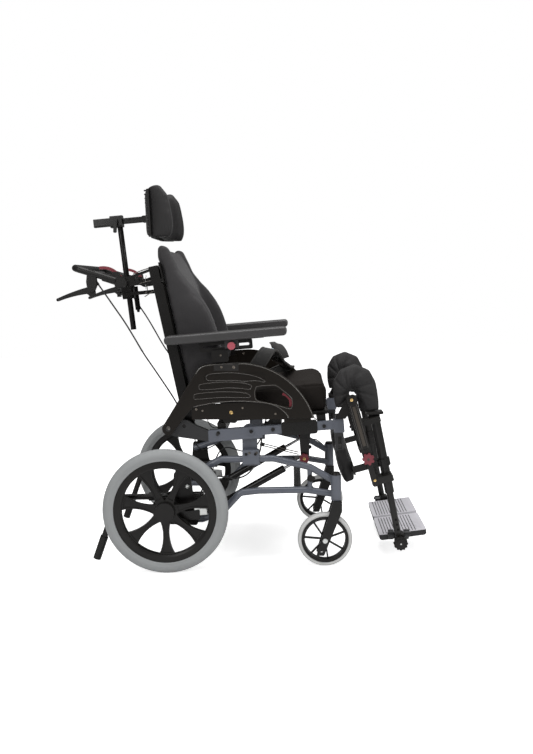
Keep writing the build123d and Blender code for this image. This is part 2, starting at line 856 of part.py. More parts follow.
with BuildPart() as tilt_cylinder:
    with BuildSketch(strut_plane(-strut_y, strut_foot_x, strut_foot_z, strut_dir).offset(16)):
        Circle(strut_radius)
    extrude(amount=strut_body_length - 16)
    fillet(edges().filter_by(GeomType.CIRCLE), 4)
    with BuildSketch(side(-strut_y + strut_width / 2)):
        with Locations((strut_foot_x, strut_foot_z)):
            Circle(strut_eye_radius)
    extrude(amount=strut_width)
    with BuildSketch(strut_plane(-strut_y, strut_foot_x, strut_foot_z, strut_dir)):
        Rectangle(12, 12)
    extrude(amount=20)
    cross_pin(
        side(-strut_y + strut_width),
        (strut_foot_x, strut_foot_z),
        strut_pin_radius + running_clearance,
        2 * strut_width,
        mode=Mode.SUBTRACT,
    )
    with BuildSketch(strut_plane(-strut_y, strut_foot_x, strut_foot_z, strut_dir).offset(60)):
        Circle(strut_rod_radius + running_clearance)
    extrude(amount=strut_body_length, mode=Mode.SUBTRACT)
keep_both(tilt_cylinder.part, "tilt_cylinders")

with BuildPart() as tilt_rod:
    strut_foot_face = strut_plane(-strut_y, strut_foot_x, strut_foot_z, strut_dir)
    with BuildSketch(strut_foot_face.offset(strut_body_length - strut_rod_inside)):
        Circle(strut_rod_radius)
    extrude(amount=strut_length - strut_body_length + strut_rod_inside - 4)
    with BuildSketch(side(-strut_y + strut_width / 2)):
        with Locations((strut_head_x, strut_head_z)):
            Circle(strut_eye_radius + 1)
    extrude(amount=strut_width)
    cross_pin(
        side(-strut_y + strut_width),
        (strut_head_x, strut_head_z),
        strut_pin_radius + strut_eye_clearance,
        2 * strut_width,
        mode=Mode.SUBTRACT,
    )
keep_both(tilt_rod.part, "tilt_rods")

lever_radius = 73.5  # the back's lever below the recline pivot
lever_angle = radians(-105)
lever_x = recline_pivot_x + lever_radius * cos(lever_angle)
lever_z = recline_pivot_z + lever_radius * sin(lever_angle)
recline_run = Vector(lever_x - recline_strut_x, 0, lever_z - recline_strut_z)
recline_dir = recline_run.normalized()
recline_body_length = 125.0
recline_rod_inside = 42.0
recline_eye_clearance = 2.5
with BuildPart() as recline_cylinder:
    with BuildSketch(strut_plane(0, recline_strut_x, recline_strut_z, recline_dir).offset(14)):
        Circle(11)
    extrude(amount=recline_body_length - 14)
    with BuildSketch(side(recline_strut_width / 2)):
        with Locations((recline_strut_x, recline_strut_z)):
            Circle(8)
    extrude(amount=recline_strut_width)
    with BuildSketch(strut_plane(0, recline_strut_x, recline_strut_z, recline_dir)):
        Rectangle(11, 11)
    extrude(amount=16)
    cross_pin(
        side(recline_strut_width),
        (recline_strut_x, recline_strut_z),
        strut_pin_radius + running_clearance,
        2 * recline_strut_width,
        mode=Mode.SUBTRACT,
    )
    with BuildSketch(strut_plane(0, recline_strut_x, recline_strut_z, recline_dir).offset(24)):
        Circle(4 + running_clearance)
    extrude(amount=recline_body_length, mode=Mode.SUBTRACT)
keep(recline_cylinder.part, "recline_cylinder")

with BuildPart() as recline_rod:
    recline_foot_face = strut_plane(0, recline_strut_x, recline_strut_z, recline_dir)
    with BuildSketch(recline_foot_face.offset(recline_body_length - recline_rod_inside)):
        Circle(4)
    extrude(amount=recline_run.length - recline_body_length + recline_rod_inside - 5)
    with BuildSketch(side(recline_strut_width / 2)):
        with Locations((lever_x, lever_z)):
            Circle(strut_pin_radius + recline_eye_clearance + 4)
    extrude(amount=recline_strut_width)
    cross_pin(
        side(recline_strut_width),
        (lever_x, lever_z),
        strut_pin_radius + recline_eye_clearance,
        2 * recline_strut_width,
        mode=Mode.SUBTRACT,
    )
keep(recline_rod.part, "recline_rod")

# ---------------------------------------------------------------- backrest
# Places on the back for the headrest's post and the push bar's rotary joints.
push_pivot = back(0).from_local_coords(Vector(-push_pivot_behind, back_tube_length + push_pivot_over, 0))
push_pivot_x = push_pivot.X - rear_axle_x
push_pivot_z = push_pivot.Z
cushion_crest = 41.0  # where the back cushion's top is highest, ahead of the uprights' rear faces
cushion_top = back(0).from_local_coords(Vector(cushion_crest, back_cushion_height, 0)).Z
head_low = cushion_top + headrest_gap
head_high = head_low + headrest_height
post_low_point = Vector(push_pivot_x - 12, 0, push_pivot_z - 162)
post_high_point = Vector(push_pivot_x - 43, 0, head_low + 51)
post_run = (post_high_point - post_low_point).normalized()


def along_post(distance):
    """Plane across the headrest post, at a distance up from its lower end."""
    foot = post_low_point + Vector(rear_axle_x, 0, 0) + post_run * distance
    return Plane(origin=foot, x_dir=(0, 1, 0), z_dir=post_run)


post_height = (post_high_point - post_low_point).length
head_bar_rear = Vector(push_pivot_x - 132, 0, head_low + 60)
head_bar_front = Vector(push_pivot_x + 47, 0, head_low + 71)
head_bar_run = (head_bar_front - head_bar_rear).normalized()
head_bar_length = (head_bar_front - head_bar_rear).length


def along_head_bar(distance):
    """Plane across the headrest's level bar, at a distance from its rear end."""
    foot = head_bar_rear + Vector(rear_axle_x, 0, 0) + head_bar_run * distance
    return Plane(origin=foot, x_dir=(0, 1, 0), z_dir=head_bar_run)


guide_at = 108.0
guide_height = 46.0
push_pin_radius = 7.0
tube_inner = back_half_width - back_tube_width
joint_inner = tube_inner - 10
push_eye_inner = tube_inner + 1  # just outside the rotary joint's disc


def guide_face(out):
    """Upright plane behind the post's guide, at a distance behind the post."""
    return Plane(
        origin=along_post(guide_at + guide_height / 2).origin,
        x_dir=(0, 1, 0),
        z_dir=(-1, 0, 0),
    ).offset(out)


hook_high = back_tube_length + 60
spring_radius = 9.0
spring_length = 82.0
spring_foot = Vector(rear_axle_x + push_pivot_x, 28 + spring_radius - 1, push_pivot_z - 94)
with BuildPart() as back_frame:
    tube_face = back(-tube_inner)
    block(tube_face, (-4, -14), (back_tube_depth - 4, back_tube_length), back_tube_width, corner=5)
    # Block and hook plate on top of the upright.
    block(tube_face, (-6, back_tube_length), (25, back_tube_length + 58), back_tube_width, corner=3)
    block(tube_face, (29.5, back_tube_length), (back_tube_depth + 1, hook_high), back_tube_width, corner=1)
    block(tube_face, (20, back_tube_length + 6), (31, back_tube_length + 14), back_tube_width)
    for bar_q in (24, back_tube_length - 165, back_tube_length - 25):
        block(back(0), (2, bar_q - 13), (22, bar_q + 13), tube_inner + 1)
    # The recline pin runs outward from the upright into the casting.
    cross_pin(back(-back_half_width + 2), (0, 0), recline_pin_radius, casting_outer - back_half_width + 1)
    # One of the lever's two ears, and half of its pin, for the recline strut's rod.
    plate(
        side(-recline_strut_width / 2 - 0.5),
        (
            (lever_x - 10, lever_z - 10),
            (lever_x + 10, lever_z - 10),
            (recline_pivot_x + 12, recline_pivot_z + 18),
            (recline_pivot_x - 8, recline_pivot_z + 18),
            (lever_x - 10, lever_z + 8),
        ),
        5,
        corner=3,
    )
    cross_pin(side(0), (lever_x, lever_z), strut_pin_radius, recline_strut_width / 2 + 5.5)
    # One of the two arms that hold the headrest post's guide.
    plate(
        back(-22),
        (
            (4, back_tube_length - 28),
            (4, back_tube_length - 14),
            (-112, back_tube_length - 2),
            (-148, back_tube_length - 2),
            (-148, back_tube_length - 18),
            (-112, back_tube_length - 14),
        ),
        6,
        corner=3,
    )
    # Rotary joint of the push bar: two slim bars run from the upright's top block to a disc.
    plate(
        back(-joint_inner),
        (
            (2, back_tube_length + 46),
            (2, back_tube_length + 54),
            (-98, back_tube_length + 41),
            (-98, back_tube_length + 32),
        ),
        10,
        corner=2,
    )
    plate(
        back(-joint_inner),
        (
            (2, back_tube_length + 5),
            (2, back_tube_length + 14),
            (-98, back_tube_length + 22),
            (-98, back_tube_length + 13),
        ),
        10,
        corner=2,
    )
    block(back(-joint_inner), (-84, back_tube_length + 13), (-62, back_tube_length + 40), 10, corner=2)
    cross_pin(side(-joint_inner + 1), (push_pivot_x, push_pivot_z), 15, 11)
    cross_pin(
        side(-joint_inner + 1),
        (push_pivot_x, push_pivot_z),
        push_pin_radius + running_clearance,
        14,
        mode=Mode.SUBTRACT,
    )
    mirror(about=Plane.XZ)
    # Spring housing that pulls the recline cable tight, beside the post's guide.
    with BuildSketch(Plane(origin=spring_foot, z_dir=post_run)):
        Circle(spring_radius)
    extrude(amount=spring_length)
    with BuildSketch(Plane(origin=spring_foot, z_dir=-post_run)):
        Circle(spring_radius - 3)
    extrude(amount=9, taper=12)
    # Guide of the headrest's post, with a clamp knob behind it.
    with BuildSketch(along_post(guide_at)):
        RectangleRounded(45, 40, 6)
    extrude(amount=guide_height)
    with BuildSketch(along_post(guide_at - 1)):
        Circle(post_radius + sliding_clearance)
    extrude(amount=guide_height + 2, mode=Mode.SUBTRACT)
    with BuildSketch(guide_face(19)):
        Circle(6)
    extrude(amount=10)
    with BuildSketch(guide_face(28)):
        Circle(13)
        with PolarLocations(13, 6):
            Circle(4.5)
    extrude(amount=11)
keep(back_frame.part, "back_frame")

cushion_shoulder = back_cushion_height - 54
cushion_lap = back_cushion_height - 41
cushion_brow = back_cushion_height - 22
cushion_over_hook = 28.5  # the cushion's rear face where it laps over the hook plates
shell_front = back_tube_depth - 1.5
shell_rear = 22.5
shell_low = 20.0
shell_high = cushion_shoulder + 4
with BuildPart() as back_shell:
    with BuildSketch(back(tube_inner - 1)):
        with BuildLine():
            Polyline(
                (shell_rear, shell_low),
                (shell_front, shell_low),
                (shell_front, shell_high),
                (shell_rear + 2.5, shell_high),
                (shell_rear, shell_high - 52),
                (shell_rear, shell_low),
            )
        make_face()
    extrude(amount=2 * tube_inner - 2)
keep(back_shell.part, "back_shell")

# The cushion is a slab with a deep wing at each side that wraps the user's trunk.
cushion_back = back_tube_depth + 1.5
wing_low = 150.0
with BuildPart() as back_cushion:
    with BuildSketch(back(seat_half_width)):
        with BuildLine():
            Polyline(
                (cushion_back, 26),
                (cushion_back, cushion_shoulder),
                (cushion_over_hook, cushion_lap),
                (cushion_over_hook, cushion_brow),
            )
            ThreePointArc(
                (cushion_over_hook, cushion_brow),
                (cushion_crest, back_cushion_height),
                (58, cushion_brow),
            )
            Polyline(
                (58, cushion_brow),
                (cushion_back + back_pad_thickness - 8, back_cushion_height - 142),
                (cushion_back + back_pad_thickness, 200),
                (cushion_back + back_pad_thickness - 14, 26),
                (cushion_back, 26),
            )
        make_face()
    extrude(amount=2 * seat_half_width)
    for wing_at in (seat_half_width, -seat_half_width + wing_thickness):
        with BuildSketch(back(wing_at)):
            with BuildLine():
                Polyline(
                    (cushion_back, wing_low - 4),
                    (cushion_back, cushion_shoulder),
                    (cushion_over_hook, cushion_lap),
                    (cushion_over_hook, cushion_brow),
                )
                ThreePointArc(
                    (cushion_over_hook, cushion_brow),
                    (cushion_crest, back_cushion_height),
                    (58, cushion_brow),
                )
                Spline(
                    (58, cushion_brow),
                    (76, back_cushion_height - 88),
                    (121, back_cushion_height - 168),
                    (156, back_cushion_height - 244),
                    (169, back_cushion_height - 320),
                    (166, wing_low + 40),
                    (152, wing_low),
                )
                Line((152, wing_low), (cushion_back, wing_low - 4))
            make_face()
        extrude(amount=wing_thickness)
keep(back_cushion.part, "back_cushion")

# ---------------------------------------------------------------- headrest
clamp_at = head_bar_length * 0.44
with BuildPart() as headrest_post:
    with BuildSketch(along_post(0)):
        Circle(post_radius)
    extrude(amount=post_height)
    # Clamp on top of the post, with a holder behind it that covers the bar's rear end.
    with BuildSketch(along_head_bar(clamp_at - 21)):
        RectangleRounded(34, 40, 6)
    extrude(amount=42)
    with BuildSketch(along_head_bar(0)):
        RectangleRounded(head_bar_width + 12, head_bar_height + 8, 4)
    extrude(amount=clamp_at)
    with BuildSketch(along_head_bar(-5)):
        Rectangle(head_bar_width + 2 * sliding_clearance, head_bar_height + 2 * sliding_clearance)
    extrude(amount=clamp_at + 40, mode=Mode.SUBTRACT)
    # Clamp lever at the clamp's right side.
    cross_pin(side(-16), (head_bar_rear.X + clamp_at, head_bar_rear.Z + 5), 6, 10)
    plate(
        side(-21),
        (
            (head_bar_rear.X + clamp_at - 6, head_bar_rear.Z + 12),
            (head_bar_rear.X + clamp_at + 7, head_bar_rear.Z + 12),
            (head_bar_rear.X + clamp_at + 2, head_bar_rear.Z - 34),
            (head_bar_rear.X + clamp_at - 9, head_bar_rear.Z - 34),
        ),
        6,
        corner=4,
    )
keep(headrest_post.part, "headrest_post")

head_ball = head_bar_front + Vector(12, 0, 1)
head_tilt_radius = 5.0
with BuildPart() as headrest_bar:
    with BuildSketch(along_head_bar(2)):
        RectangleRounded(head_bar_width, head_bar_height, 3)
    extrude(amount=head_bar_length - 10)
    # A groove along each side of the bar.
    with BuildSketch(along_head_bar(clamp_at)):
        with Locations((head_bar_width / 2, 0), (-head_bar_width / 2, 0)):
            Rectangle(4, 7)
    extrude(amount=head_bar_length - clamp_at - 24, mode=Mode.SUBTRACT)
    block(
        side(8),
        (head_bar_front.X - 14, head_bar_front.Z - 12),
        (head_bar_front.X + 21, head_bar_front.Z + 12),
        16,
        corner=8,
    )
    cross_pin(
        side(9),
        (head_ball.X, head_ball.Z),
        head_tilt_radius + running_clearance,
        18,
        mode=Mode.SUBTRACT,
    )
keep(headrest_bar.part, "headrest_bar")

# The shell is a curved plate; its side wings come forward around the head.
head_middle_x = push_pivot_x + 81  # rear face of the shell at the middle
head_wing_x = head_middle_x + 72


def head_band(rear_x, half_width, wing_x, thickness):
    """Outline, seen from above, of a band that is straight behind the head and comes forward at its sides."""
    with BuildSketch(level(head_low)) as outline:
        with BuildLine():
            Polyline((rear_x, half_width - 62), (rear_x, -half_width + 62))
            ThreePointArc(
                (rear_x, -half_width + 62),
                (rear_x + 16, -half_width + 14),
                (wing_x, -half_width),
            )
            Line((wing_x, -half_width), (wing_x, -half_width + thickness))
            ThreePointArc(
                (wing_x, -half_width + thickness),
                (rear_x + 16 + thickness * 0.8, -half_width + 14 + thickness * 0.8),
                (rear_x + thickness, -half_width + 62 + thickness / 3),
            )
            Line(
                (rear_x + thickness, -half_width + 62 + thickness / 3),
                (rear_x + thickness, half_width - 62 - thickness / 3),
            )
            ThreePointArc(
                (rear_x + thickness, half_width - 62 - thickness / 3),
                (rear_x + 16 + thickness * 0.8, half_width - 14 - thickness * 0.8),
                (wing_x, half_width - thickness),
            )
            Line((wing_x, half_width - thickness), (wing_x, half_width))
            ThreePointArc((wing_x, half_width), (rear_x + 16, half_width - 14), (rear_x, half_width - 62))
        make_face()
    return outline.sketch


with BuildPart() as headrest_shell:
    extrude(head_band(head_middle_x, head_half_width, head_middle_x + 38, 4), amount=head_high - head_low - 6)
    ball_low = (head_middle_x - 26, head_ball.Z - 18)
    ball_high = (head_middle_x + 2, head_ball.Z + 18)
    block(side(16), ball_low, ball_high, 32, corner=4)
    block(
        side(8.4),
        (head_middle_x - 60, head_ball.Z - 40),
        (head_middle_x - 9, head_ball.Z + 40),
        16.8,
        mode=Mode.SUBTRACT,
    )
    cross_pin(side(16), (head_ball.X, head_ball.Z), head_tilt_radius, 32)
keep(headrest_shell.part, "headrest_shell")

with BuildPart() as headrest_pad:
    extrude(head_band(head_middle_x + 5.5, head_half_width - 6, head_wing_x, 30), amount=head_high - head_low)
keep(headrest_pad.part, "headrest_pad")

# ---------------------------------------------------------------- push bar and levers
def push(behind, above):
    """A point of the push bar, behind and above its joint, for a plane made by side()."""
    return (push_pivot_x - behind, push_pivot_z + above)


push_bar_x, push_bar_z = push(push_bar_behind, push_bar_above)
lever_pin = push(103, -19)
release_y = push_half_width - 24
release_pin = push(19, 27)
grip_straight = 110.0  # half of the straight middle of the bar
cable_radius = 2.5
cable_out = Vector(0.56, 0, -0.83).normalized()  # the way the brake cable leaves the push bar
cable_stop_length = 26.0
stop_root = Vector(push_pivot_x - 93 + rear_axle_x, -push_half_width, push_pivot_z + 17)
with BuildPart() as push_bar:
    with BuildLine() as push_route:
        FilletPolyline(
            (rear_axle_x + push_pivot_x - 22, -push_half_width, push_pivot_z + 8),
            (rear_axle_x + push_pivot_x - 79, -push_half_width, push_pivot_z + 27),
            (rear_axle_x + push_bar_x, -push_half_width, push_bar_z),
            (rear_axle_x + push_bar_x, -grip_straight + 1, push_bar_z),
            radius=24,
        )
    with BuildSketch(Plane(origin=push_route.line @ 0, z_dir=push_route.line % 0)):
        Circle(push_tube_radius)
    sweep(path=push_route.line)
    cross_pin(side(0), (push_bar_x, push_bar_z), push_tube_radius, grip_straight)
    # Eye of the rotary joint, with its pin running inward.
    with BuildSketch(side(-push_eye_inner)):
        with BuildLine():
            Polyline((push_pivot_x - 64, push_pivot_z + 32), (push_pivot_x + 2, push_pivot_z + 14))
            ThreePointArc(
                (push_pivot_x + 2, push_pivot_z + 14),
                (push_pivot_x + 14, push_pivot_z - 2),
                (push_pivot_x - 2, push_pivot_z - 14),
            )
            Polyline(
                (push_pivot_x - 2, push_pivot_z - 14),
                (push_pivot_x - 66, push_pivot_z + 8),
                (push_pivot_x - 64, push_pivot_z + 32),
            )
        make_face()
    extrude(amount=15)
    push_pin_length = push_eye_inner - joint_inner + 2
    cross_pin(side(-joint_inner), (push_pivot_x, push_pivot_z), push_pin_radius, push_pin_length)
    # Stop that the brake cable comes out of.
    with BuildSketch(Plane(origin=stop_root, z_dir=cable_out)):
        Circle(4)
    extrude(amount=cable_stop_length)
    # Ear on the inner side of the bar that the release lever swings on.
    plate(side(-push_eye_inner), (push(45, 6), push(5, 3), push(9, 35), push(29, 37)), 10, corner=6)
    cross_pin(side(-release_y - 9), release_pin, 4 + running_clearance, 14, mode=Mode.SUBTRACT)
    # Bracket that carries the brake lever under the bar, slotted for the lever.
    plate(
        side(-push_half_width + 8),
        (push(111, 47), push(85, 39), push(83, -5), push(93, -27), push(113, -27), push(117, 5)),
        16,
        corner=5,
    )
    block(side(-push_half_width + 4), push(129, -47), push(81, -5), 8, mode=Mode.SUBTRACT)
    cross_pin(
        side(-push_half_width + 9),
        lever_pin,
        3 + running_clearance,
        18,
        mode=Mode.SUBTRACT,
    )
    mirror(about=Plane.XZ)
keep(push_bar.part, "push_bar")

with BuildPart() as brake_lever:
    with BuildSketch(side(-push_half_width + 3.4)):
        with BuildLine():
            Line(push(93, -9), push(115, -11))
            ThreePointArc(push(115, -11), push(157, -23), push(213, -44))
            ThreePointArc(push(213, -44), push(218, -51), push(211, -54))
            ThreePointArc(push(211, -54), push(157, -39), push(117, -33))
            Polyline(push(117, -33), push(103, -45), push(91, -42), push(89, -27), push(93, -9))
        make_face()
    extrude(amount=6.8)
    cross_pin(side(-push_half_width + 8), lever_pin, 3, 16)
keep_pair(brake_lever.part, "brake_lever")

with BuildPart() as release_lever:
    with BuildSketch(side(-release_y)):
        with BuildLine():
            Line(push(13, 23), push(27, 31))
            ThreePointArc(push(27, 31), push(53, 44), push(77, 45))
            Line(push(77, 45), push(79, 54))
            ThreePointArc(push(79, 54), push(49, 53), push(21, 37))
            Polyline(push(21, 37), push(5, 21), push(13, 23))
        make_face()
    extrude(amount=9)
    cross_pin(side(-release_y), release_pin, 4, 22)
keep_pair(release_lever.part, "release_lever")

# ---------------------------------------------------------------- armrests
panel_face = side(-panel_inner)
panel_outer_face = side(-panel_inner - panel_thickness)
guide_low = 150.0
guide_high = 214.0
post_u = -85.0
post_v = 118.0
post_inner = panel_inner - 0.4 - arm_post_thickness
with BuildPart() as side_panel:
    with BuildSketch(panel_face):
        with BuildLine():
            Polyline((arm_pivot_x - 19, arm_pivot_z + 7), (108, 642))
            ThreePointArc((108, 642), (122, 660), (146, 669))
            Line((146, 669), (252, 673))
            ThreePointArc((252, 673), (400, 617), (485, 489))
            Line((485, 489), (402, 489))
            ThreePointArc((402, 489), (376, 520), (338, 538))
            ThreePointArc((338, 538), (220, 547), (96, 531))
            Polyline((96, 531), (62, 492), (arm_pivot_x + 18, arm_pivot_z - 9))
            ThreePointArc(
                (arm_pivot_x + 18, arm_pivot_z - 9),
                (arm_pivot_x - 7, arm_pivot_z - 19),
                (arm_pivot_x - 19, arm_pivot_z + 7),
            )
        make_face()
    extrude(amount=panel_thickness)
    fillet(faces().sort_by(Axis.Y)[0].edges(), 2.5)
    # Skirt below the arch: a thin wall that closes the gap down to the seat rail.
    with BuildSketch(panel_face):
        with BuildLine():
            Polyline((92, 540), (92, 492), (398, 486), (398, 510), (340, 546), (92, 540))
        make_face()
    extrude(amount=4)
    # The foot behind the panel's front end stands on the rail's clamp.
    block(
        seat(-frame_half_width + 8),
        (clamp_rear + 10, clamp_high + 0.3),
        (clamp_front - 18, clamp_high + 15),
        panel_inner - frame_half_width + 10,
        corner=2,
    )
    # Hand hole.
    with BuildSketch(panel_face.offset(-1)):
        with BuildLine():
            Polyline((298, 595), (366, 595), (414, 550), (414, 524), (300, 552), close=True)
        make_face()
        fillet(vertices(), 8)
    extrude(amount=panel_thickness + 2, mode=Mode.SUBTRACT)
    # Three moulded grooves.
    grooves = (((138, 613), (330, 640)), ((119, 584), (284, 604)), ((101, 556), (281, 575)))
    for groove_low, groove_high in grooves:
        block(panel_outer_face.offset(-2), groove_low, groove_high, 4, corner=9, mode=Mode.SUBTRACT)
    # Guide for the armrest post on the inner side.
    block(
        seat(-post_inner + 4),
        (post_u - post_width / 2 - 6, guide_low),
        (post_u + post_width / 2 + 6, guide_high),
        panel_inner - post_inner + 5,
        corner=4,
    )
    block(
        seat(-post_inner + sliding_clearance),
        (post_u - post_width / 2 - sliding_clearance, guide_low - 60),
        (post_u + post_width / 2 + sliding_clearance, guide_high + 60),
        panel_inner - post_inner + sliding_clearance,
        mode=Mode.SUBTRACT,
    )
    cross_pin(
        panel_face.offset(-1),
        (arm_pivot_x, arm_pivot_z),
        arm_pin_radius + running_clearance,
        20,
        mode=Mode.SUBTRACT,
    )
keep_pair(side_panel.part, "side_panel")

slot_v = 286.0
slot_rear = -130.0
slot_front = 20.0
with BuildPart() as arm_post:
    post_foot = (post_u - post_width / 2, post_v)
    post_head = (post_u + post_width / 2, 277)
    block(seat(-post_inner), post_foot, post_head, arm_post_thickness, corner=2)
    block(seat(-post_inner - 5), (-140, 270), (30, 302), 6, corner=5)
    slot_low = (slot_rear, slot_v - 4.2)
    slot_high = (slot_front, slot_v + 4.2)
    block(seat(-post_inner - 5), slot_low, slot_high, 6, corner=4, mode=Mode.SUBTRACT)
    block(seat(-post_inner - 10), (-103, 235), (-50, 274), 9, corner=5)
keep_pair(arm_post.part, "arm_post")

pad_low = 304.5
pad_rear = -246.0
bolt_u = -35.0
with BuildPart() as arm_pad:
    with BuildSketch(seat(-panel_inner + arm_pad_width / 2)):
        with Locations((pad_rear + arm_pad_length / 2, pad_low + arm_pad_thickness / 2)):
            RectangleRounded(arm_pad_length, arm_pad_thickness, 12)
    extrude(amount=arm_pad_width)
    fillet(faces().sort_by(Axis.Y)[0].edges() + faces().sort_by(Axis.Y)[-1].edges(), 6)
    # Carrier plate, flange and clamping screw with its knob.
    block(seat(-panel_inner + 18), (-225, pad_low - 2.2), (68, pad_low + 1), 36)
    block(seat(-panel_inner - 1), (-58, slot_v - 9), (-14, pad_low), 4, corner=2)
    cross_pin(seat(-post_inner - 3), (bolt_u, slot_v), 3.8, panel_inner - post_inner + 2)
    cross_pin(seat(-post_inner - 1.5), (bolt_u, slot_v), 7, 3)
    with BuildSketch(seat(-panel_inner - 5)):
        with Locations((bolt_u, slot_v)):
            Circle(9)
            with PolarLocations(9, 6):
                Circle(3.2)
    extrude(amount=13)
keep_pair(arm_pad.part, "arm_pad")

# ---------------------------------------------------------------- legrests
leg_angle = -75.5


def leg(y):
    """Plane of the legrest's side profiles: first axis down the leg from the knee, second forward."""
    return tilted(knee_x, y, knee_z, leg_angle)


hanger_face = frame_half_width + 25.0  # chair's middle to the inner face of the hanger's plate
hanger_thickness = 8.0
crank_low = 486.0
with BuildPart() as hanger:
    cross_pin(level(400), (swing_pin_x, -frame_half_width), swing_pin_radius, crank_low - 398)
    cross_pin(level(crank_low - 3), (swing_pin_x, -frame_half_width), 13, 5)
    with BuildSketch(level(crank_low)):
        with Locations((swing_pin_x + 1, -(frame_half_width - 9 + hanger_face + hanger_thickness) / 2)):
            RectangleRounded(29, hanger_face + hanger_thickness - frame_half_width + 9, 7)
    extrude(amount=11)
    plate(
        side(-hanger_face),
        (
            (swing_pin_x - 14, crank_low),
            (swing_pin_x + 18, crank_low),
            (knee_x + 14, knee_z - 6),
            (knee_x + 9, knee_z + 13),
            (knee_x - 7, knee_z + 14),
            (knee_x - 19, knee_z - 1),
        ),
        hanger_thickness,
        corner=6,
    )
    cross_pin(side(-hanger_face), (knee_x, knee_z), knee_pin_radius, hanger_thickness + 15)
keep_pair(hanger.part, "hanger")

knee_pad_low = knee_z - 41.0
profile_inner = hanger_face + hanger_thickness + 1
profile_thickness = 12.0
profile_length = 195.0
tube_top = (76.0, 58.0)
tube_low = (331.0, 39.5)
tube_run = Vector(tube_low[0] - tube_top[0], tube_low[1] - tube_top[1], 0)
leg_tube_plane = leg(-leg_half_width - 5)
tube_origin = leg_tube_plane.from_local_coords(Vector(*tube_top, 0))
tube_end = leg_tube_plane.from_local_coords(Vector(*tube_low, 0))
tube_dir = (tube_end - tube_origin).normalized()


def down_leg_tube(distance):
    """Plane across the legrest's tube, at a distance down from its top."""
    return Plane(origin=tube_origin + tube_dir * distance, x_dir=(0, 1, 0), z_dir=tube_dir)


profile_face = leg(-profile_inner)
tube_length = tube_run.length
with BuildPart() as leg_tube:
    profile_half = leg_profile_width / 2
    block(profile_face, (-16, -profile_half), (profile_length, profile_half), profile_thickness, corner=10)
    groove_face = profile_face.offset(profile_thickness - 2)
    block(groove_face, (20, -6), (profile_length - 28, 6), 4, corner=4, mode=Mode.SUBTRACT)
    block(profile_face, (profile_length - 20, -9), (289, 9), profile_thickness, corner=8)
    # Star knob where the length of the legrest is set.
    with BuildSketch(profile_face.offset(profile_thickness)):
        with Locations((profile_length, 0)):
            Circle(15)
            with PolarLocations(15, 7):
                Circle(4.4)
    extrude(amount=12)
    with BuildSketch(down_leg_tube(0)):
        Circle(leg_tube_radius)
    extrude(amount=tube_length)
    # Upper and lower brackets from the profile across to the tube.
    block(leg(-leg_half_width + 9), (74, 8), (92, 72), profile_inner - leg_half_width + 12, corner=4)
    block(leg(-leg_half_width + 9), (266, -8), (288, 62), profile_inner - leg_half_width + 12, corner=4)
    with BuildSketch(down_leg_tube(-2)):
        Circle(foot_tube_radius + sliding_clearance)
    extrude(amount=tube_length + 20, mode=Mode.SUBTRACT)
    # Shelf under the front of the knee pad.
    shelf_rear = knee_x + 47
    shelf_face = side(-leg_half_width + 16)
    block(shelf_face, (shelf_rear, knee_pad_low - 9), (shelf_rear + 54, knee_pad_low - 0.3), 46, corner=3)
    block(shelf_face, (shelf_rear + 8, knee_pad_low - 22), (shelf_rear + 44, knee_pad_low - 6), 30)
    cross_pin(
        profile_face.offset(-1),
        (0, 0),
        knee_pin_radius + running_clearance,
        profile_thickness + 2,
        mode=Mode.SUBTRACT,
    )
keep_pair(leg_tube.part, "leg_tube")

knee_pad_thickness = 45.0
knee_pad_inner = hanger_face - 3 - knee_pad_thickness
with BuildPart() as knee_pad:
    with BuildSketch(side(-knee_pad_inner)):
        with BuildLine():
            Spline(
                (knee_x - 50, knee_z - 6),
                (knee_x - 62, knee_z + 15),
                (knee_x - 57, knee_z + 47),
                (knee_x - 29, knee_z + 83),
                (knee_x + 3, knee_z + 105),
                (knee_x + 31, knee_z + 105),
                (knee_x + 57, knee_z + 87),
                (knee_x + 79, knee_z + 43),
                (knee_x + 97, knee_z - 12),
                (knee_x + 104, knee_pad_low),
            )
            Polyline(
                (knee_x + 104, knee_pad_low),
                (knee_x + 45, knee_pad_low),
                (knee_x + 27, knee_z - 25),
                (knee_x + 9, knee_z - 31),
                (knee_x - 13, knee_z - 39),
                (knee_x - 31, knee_z - 27),
                (knee_x - 50, knee_z - 6),
            )
        make_face()
    extrude(amount=knee_pad_thickness)
keep_pair(knee_pad.part, "knee_pad")

collar_at = 140.0
calf_s = 150.0
calf_length = 122.0
calf_t = -50.0
calf_thickness = 38.0
calf_outer = leg_half_width - 13
calf_width = 140.0
with BuildPart() as calf_arm:
    with BuildSketch(down_leg_tube(collar_at)):
        Circle(leg_tube_radius + 6)
    extrude(amount=24)
    block(leg(-leg_half_width + 2), (218, calf_t - 6), (238, 34), 14, corner=3)
    calf_bar_start = calf_outer - calf_width + 20
    block(
        leg(-calf_bar_start),
        (212, calf_t - 6),
        (244, calf_t),
        leg_half_width + 14 - calf_bar_start,
        corner=2,
    )
    with BuildSketch(down_leg_tube(collar_at - 20)):
        Circle(leg_tube_radius + running_clearance)
    extrude(amount=70, mode=Mode.SUBTRACT)
keep_pair(calf_arm.part, "calf_arm")

with BuildPart() as calf_pad:
    with BuildSketch(leg(-calf_outer + calf_width)):
        with Locations((calf_s + calf_length / 2, calf_t - 6 - 0.3 - calf_thickness / 2)):
            RectangleRounded(calf_length, calf_thickness, 10)
    extrude(amount=calf_width)
keep_pair(calf_pad.part, "calf_pad")

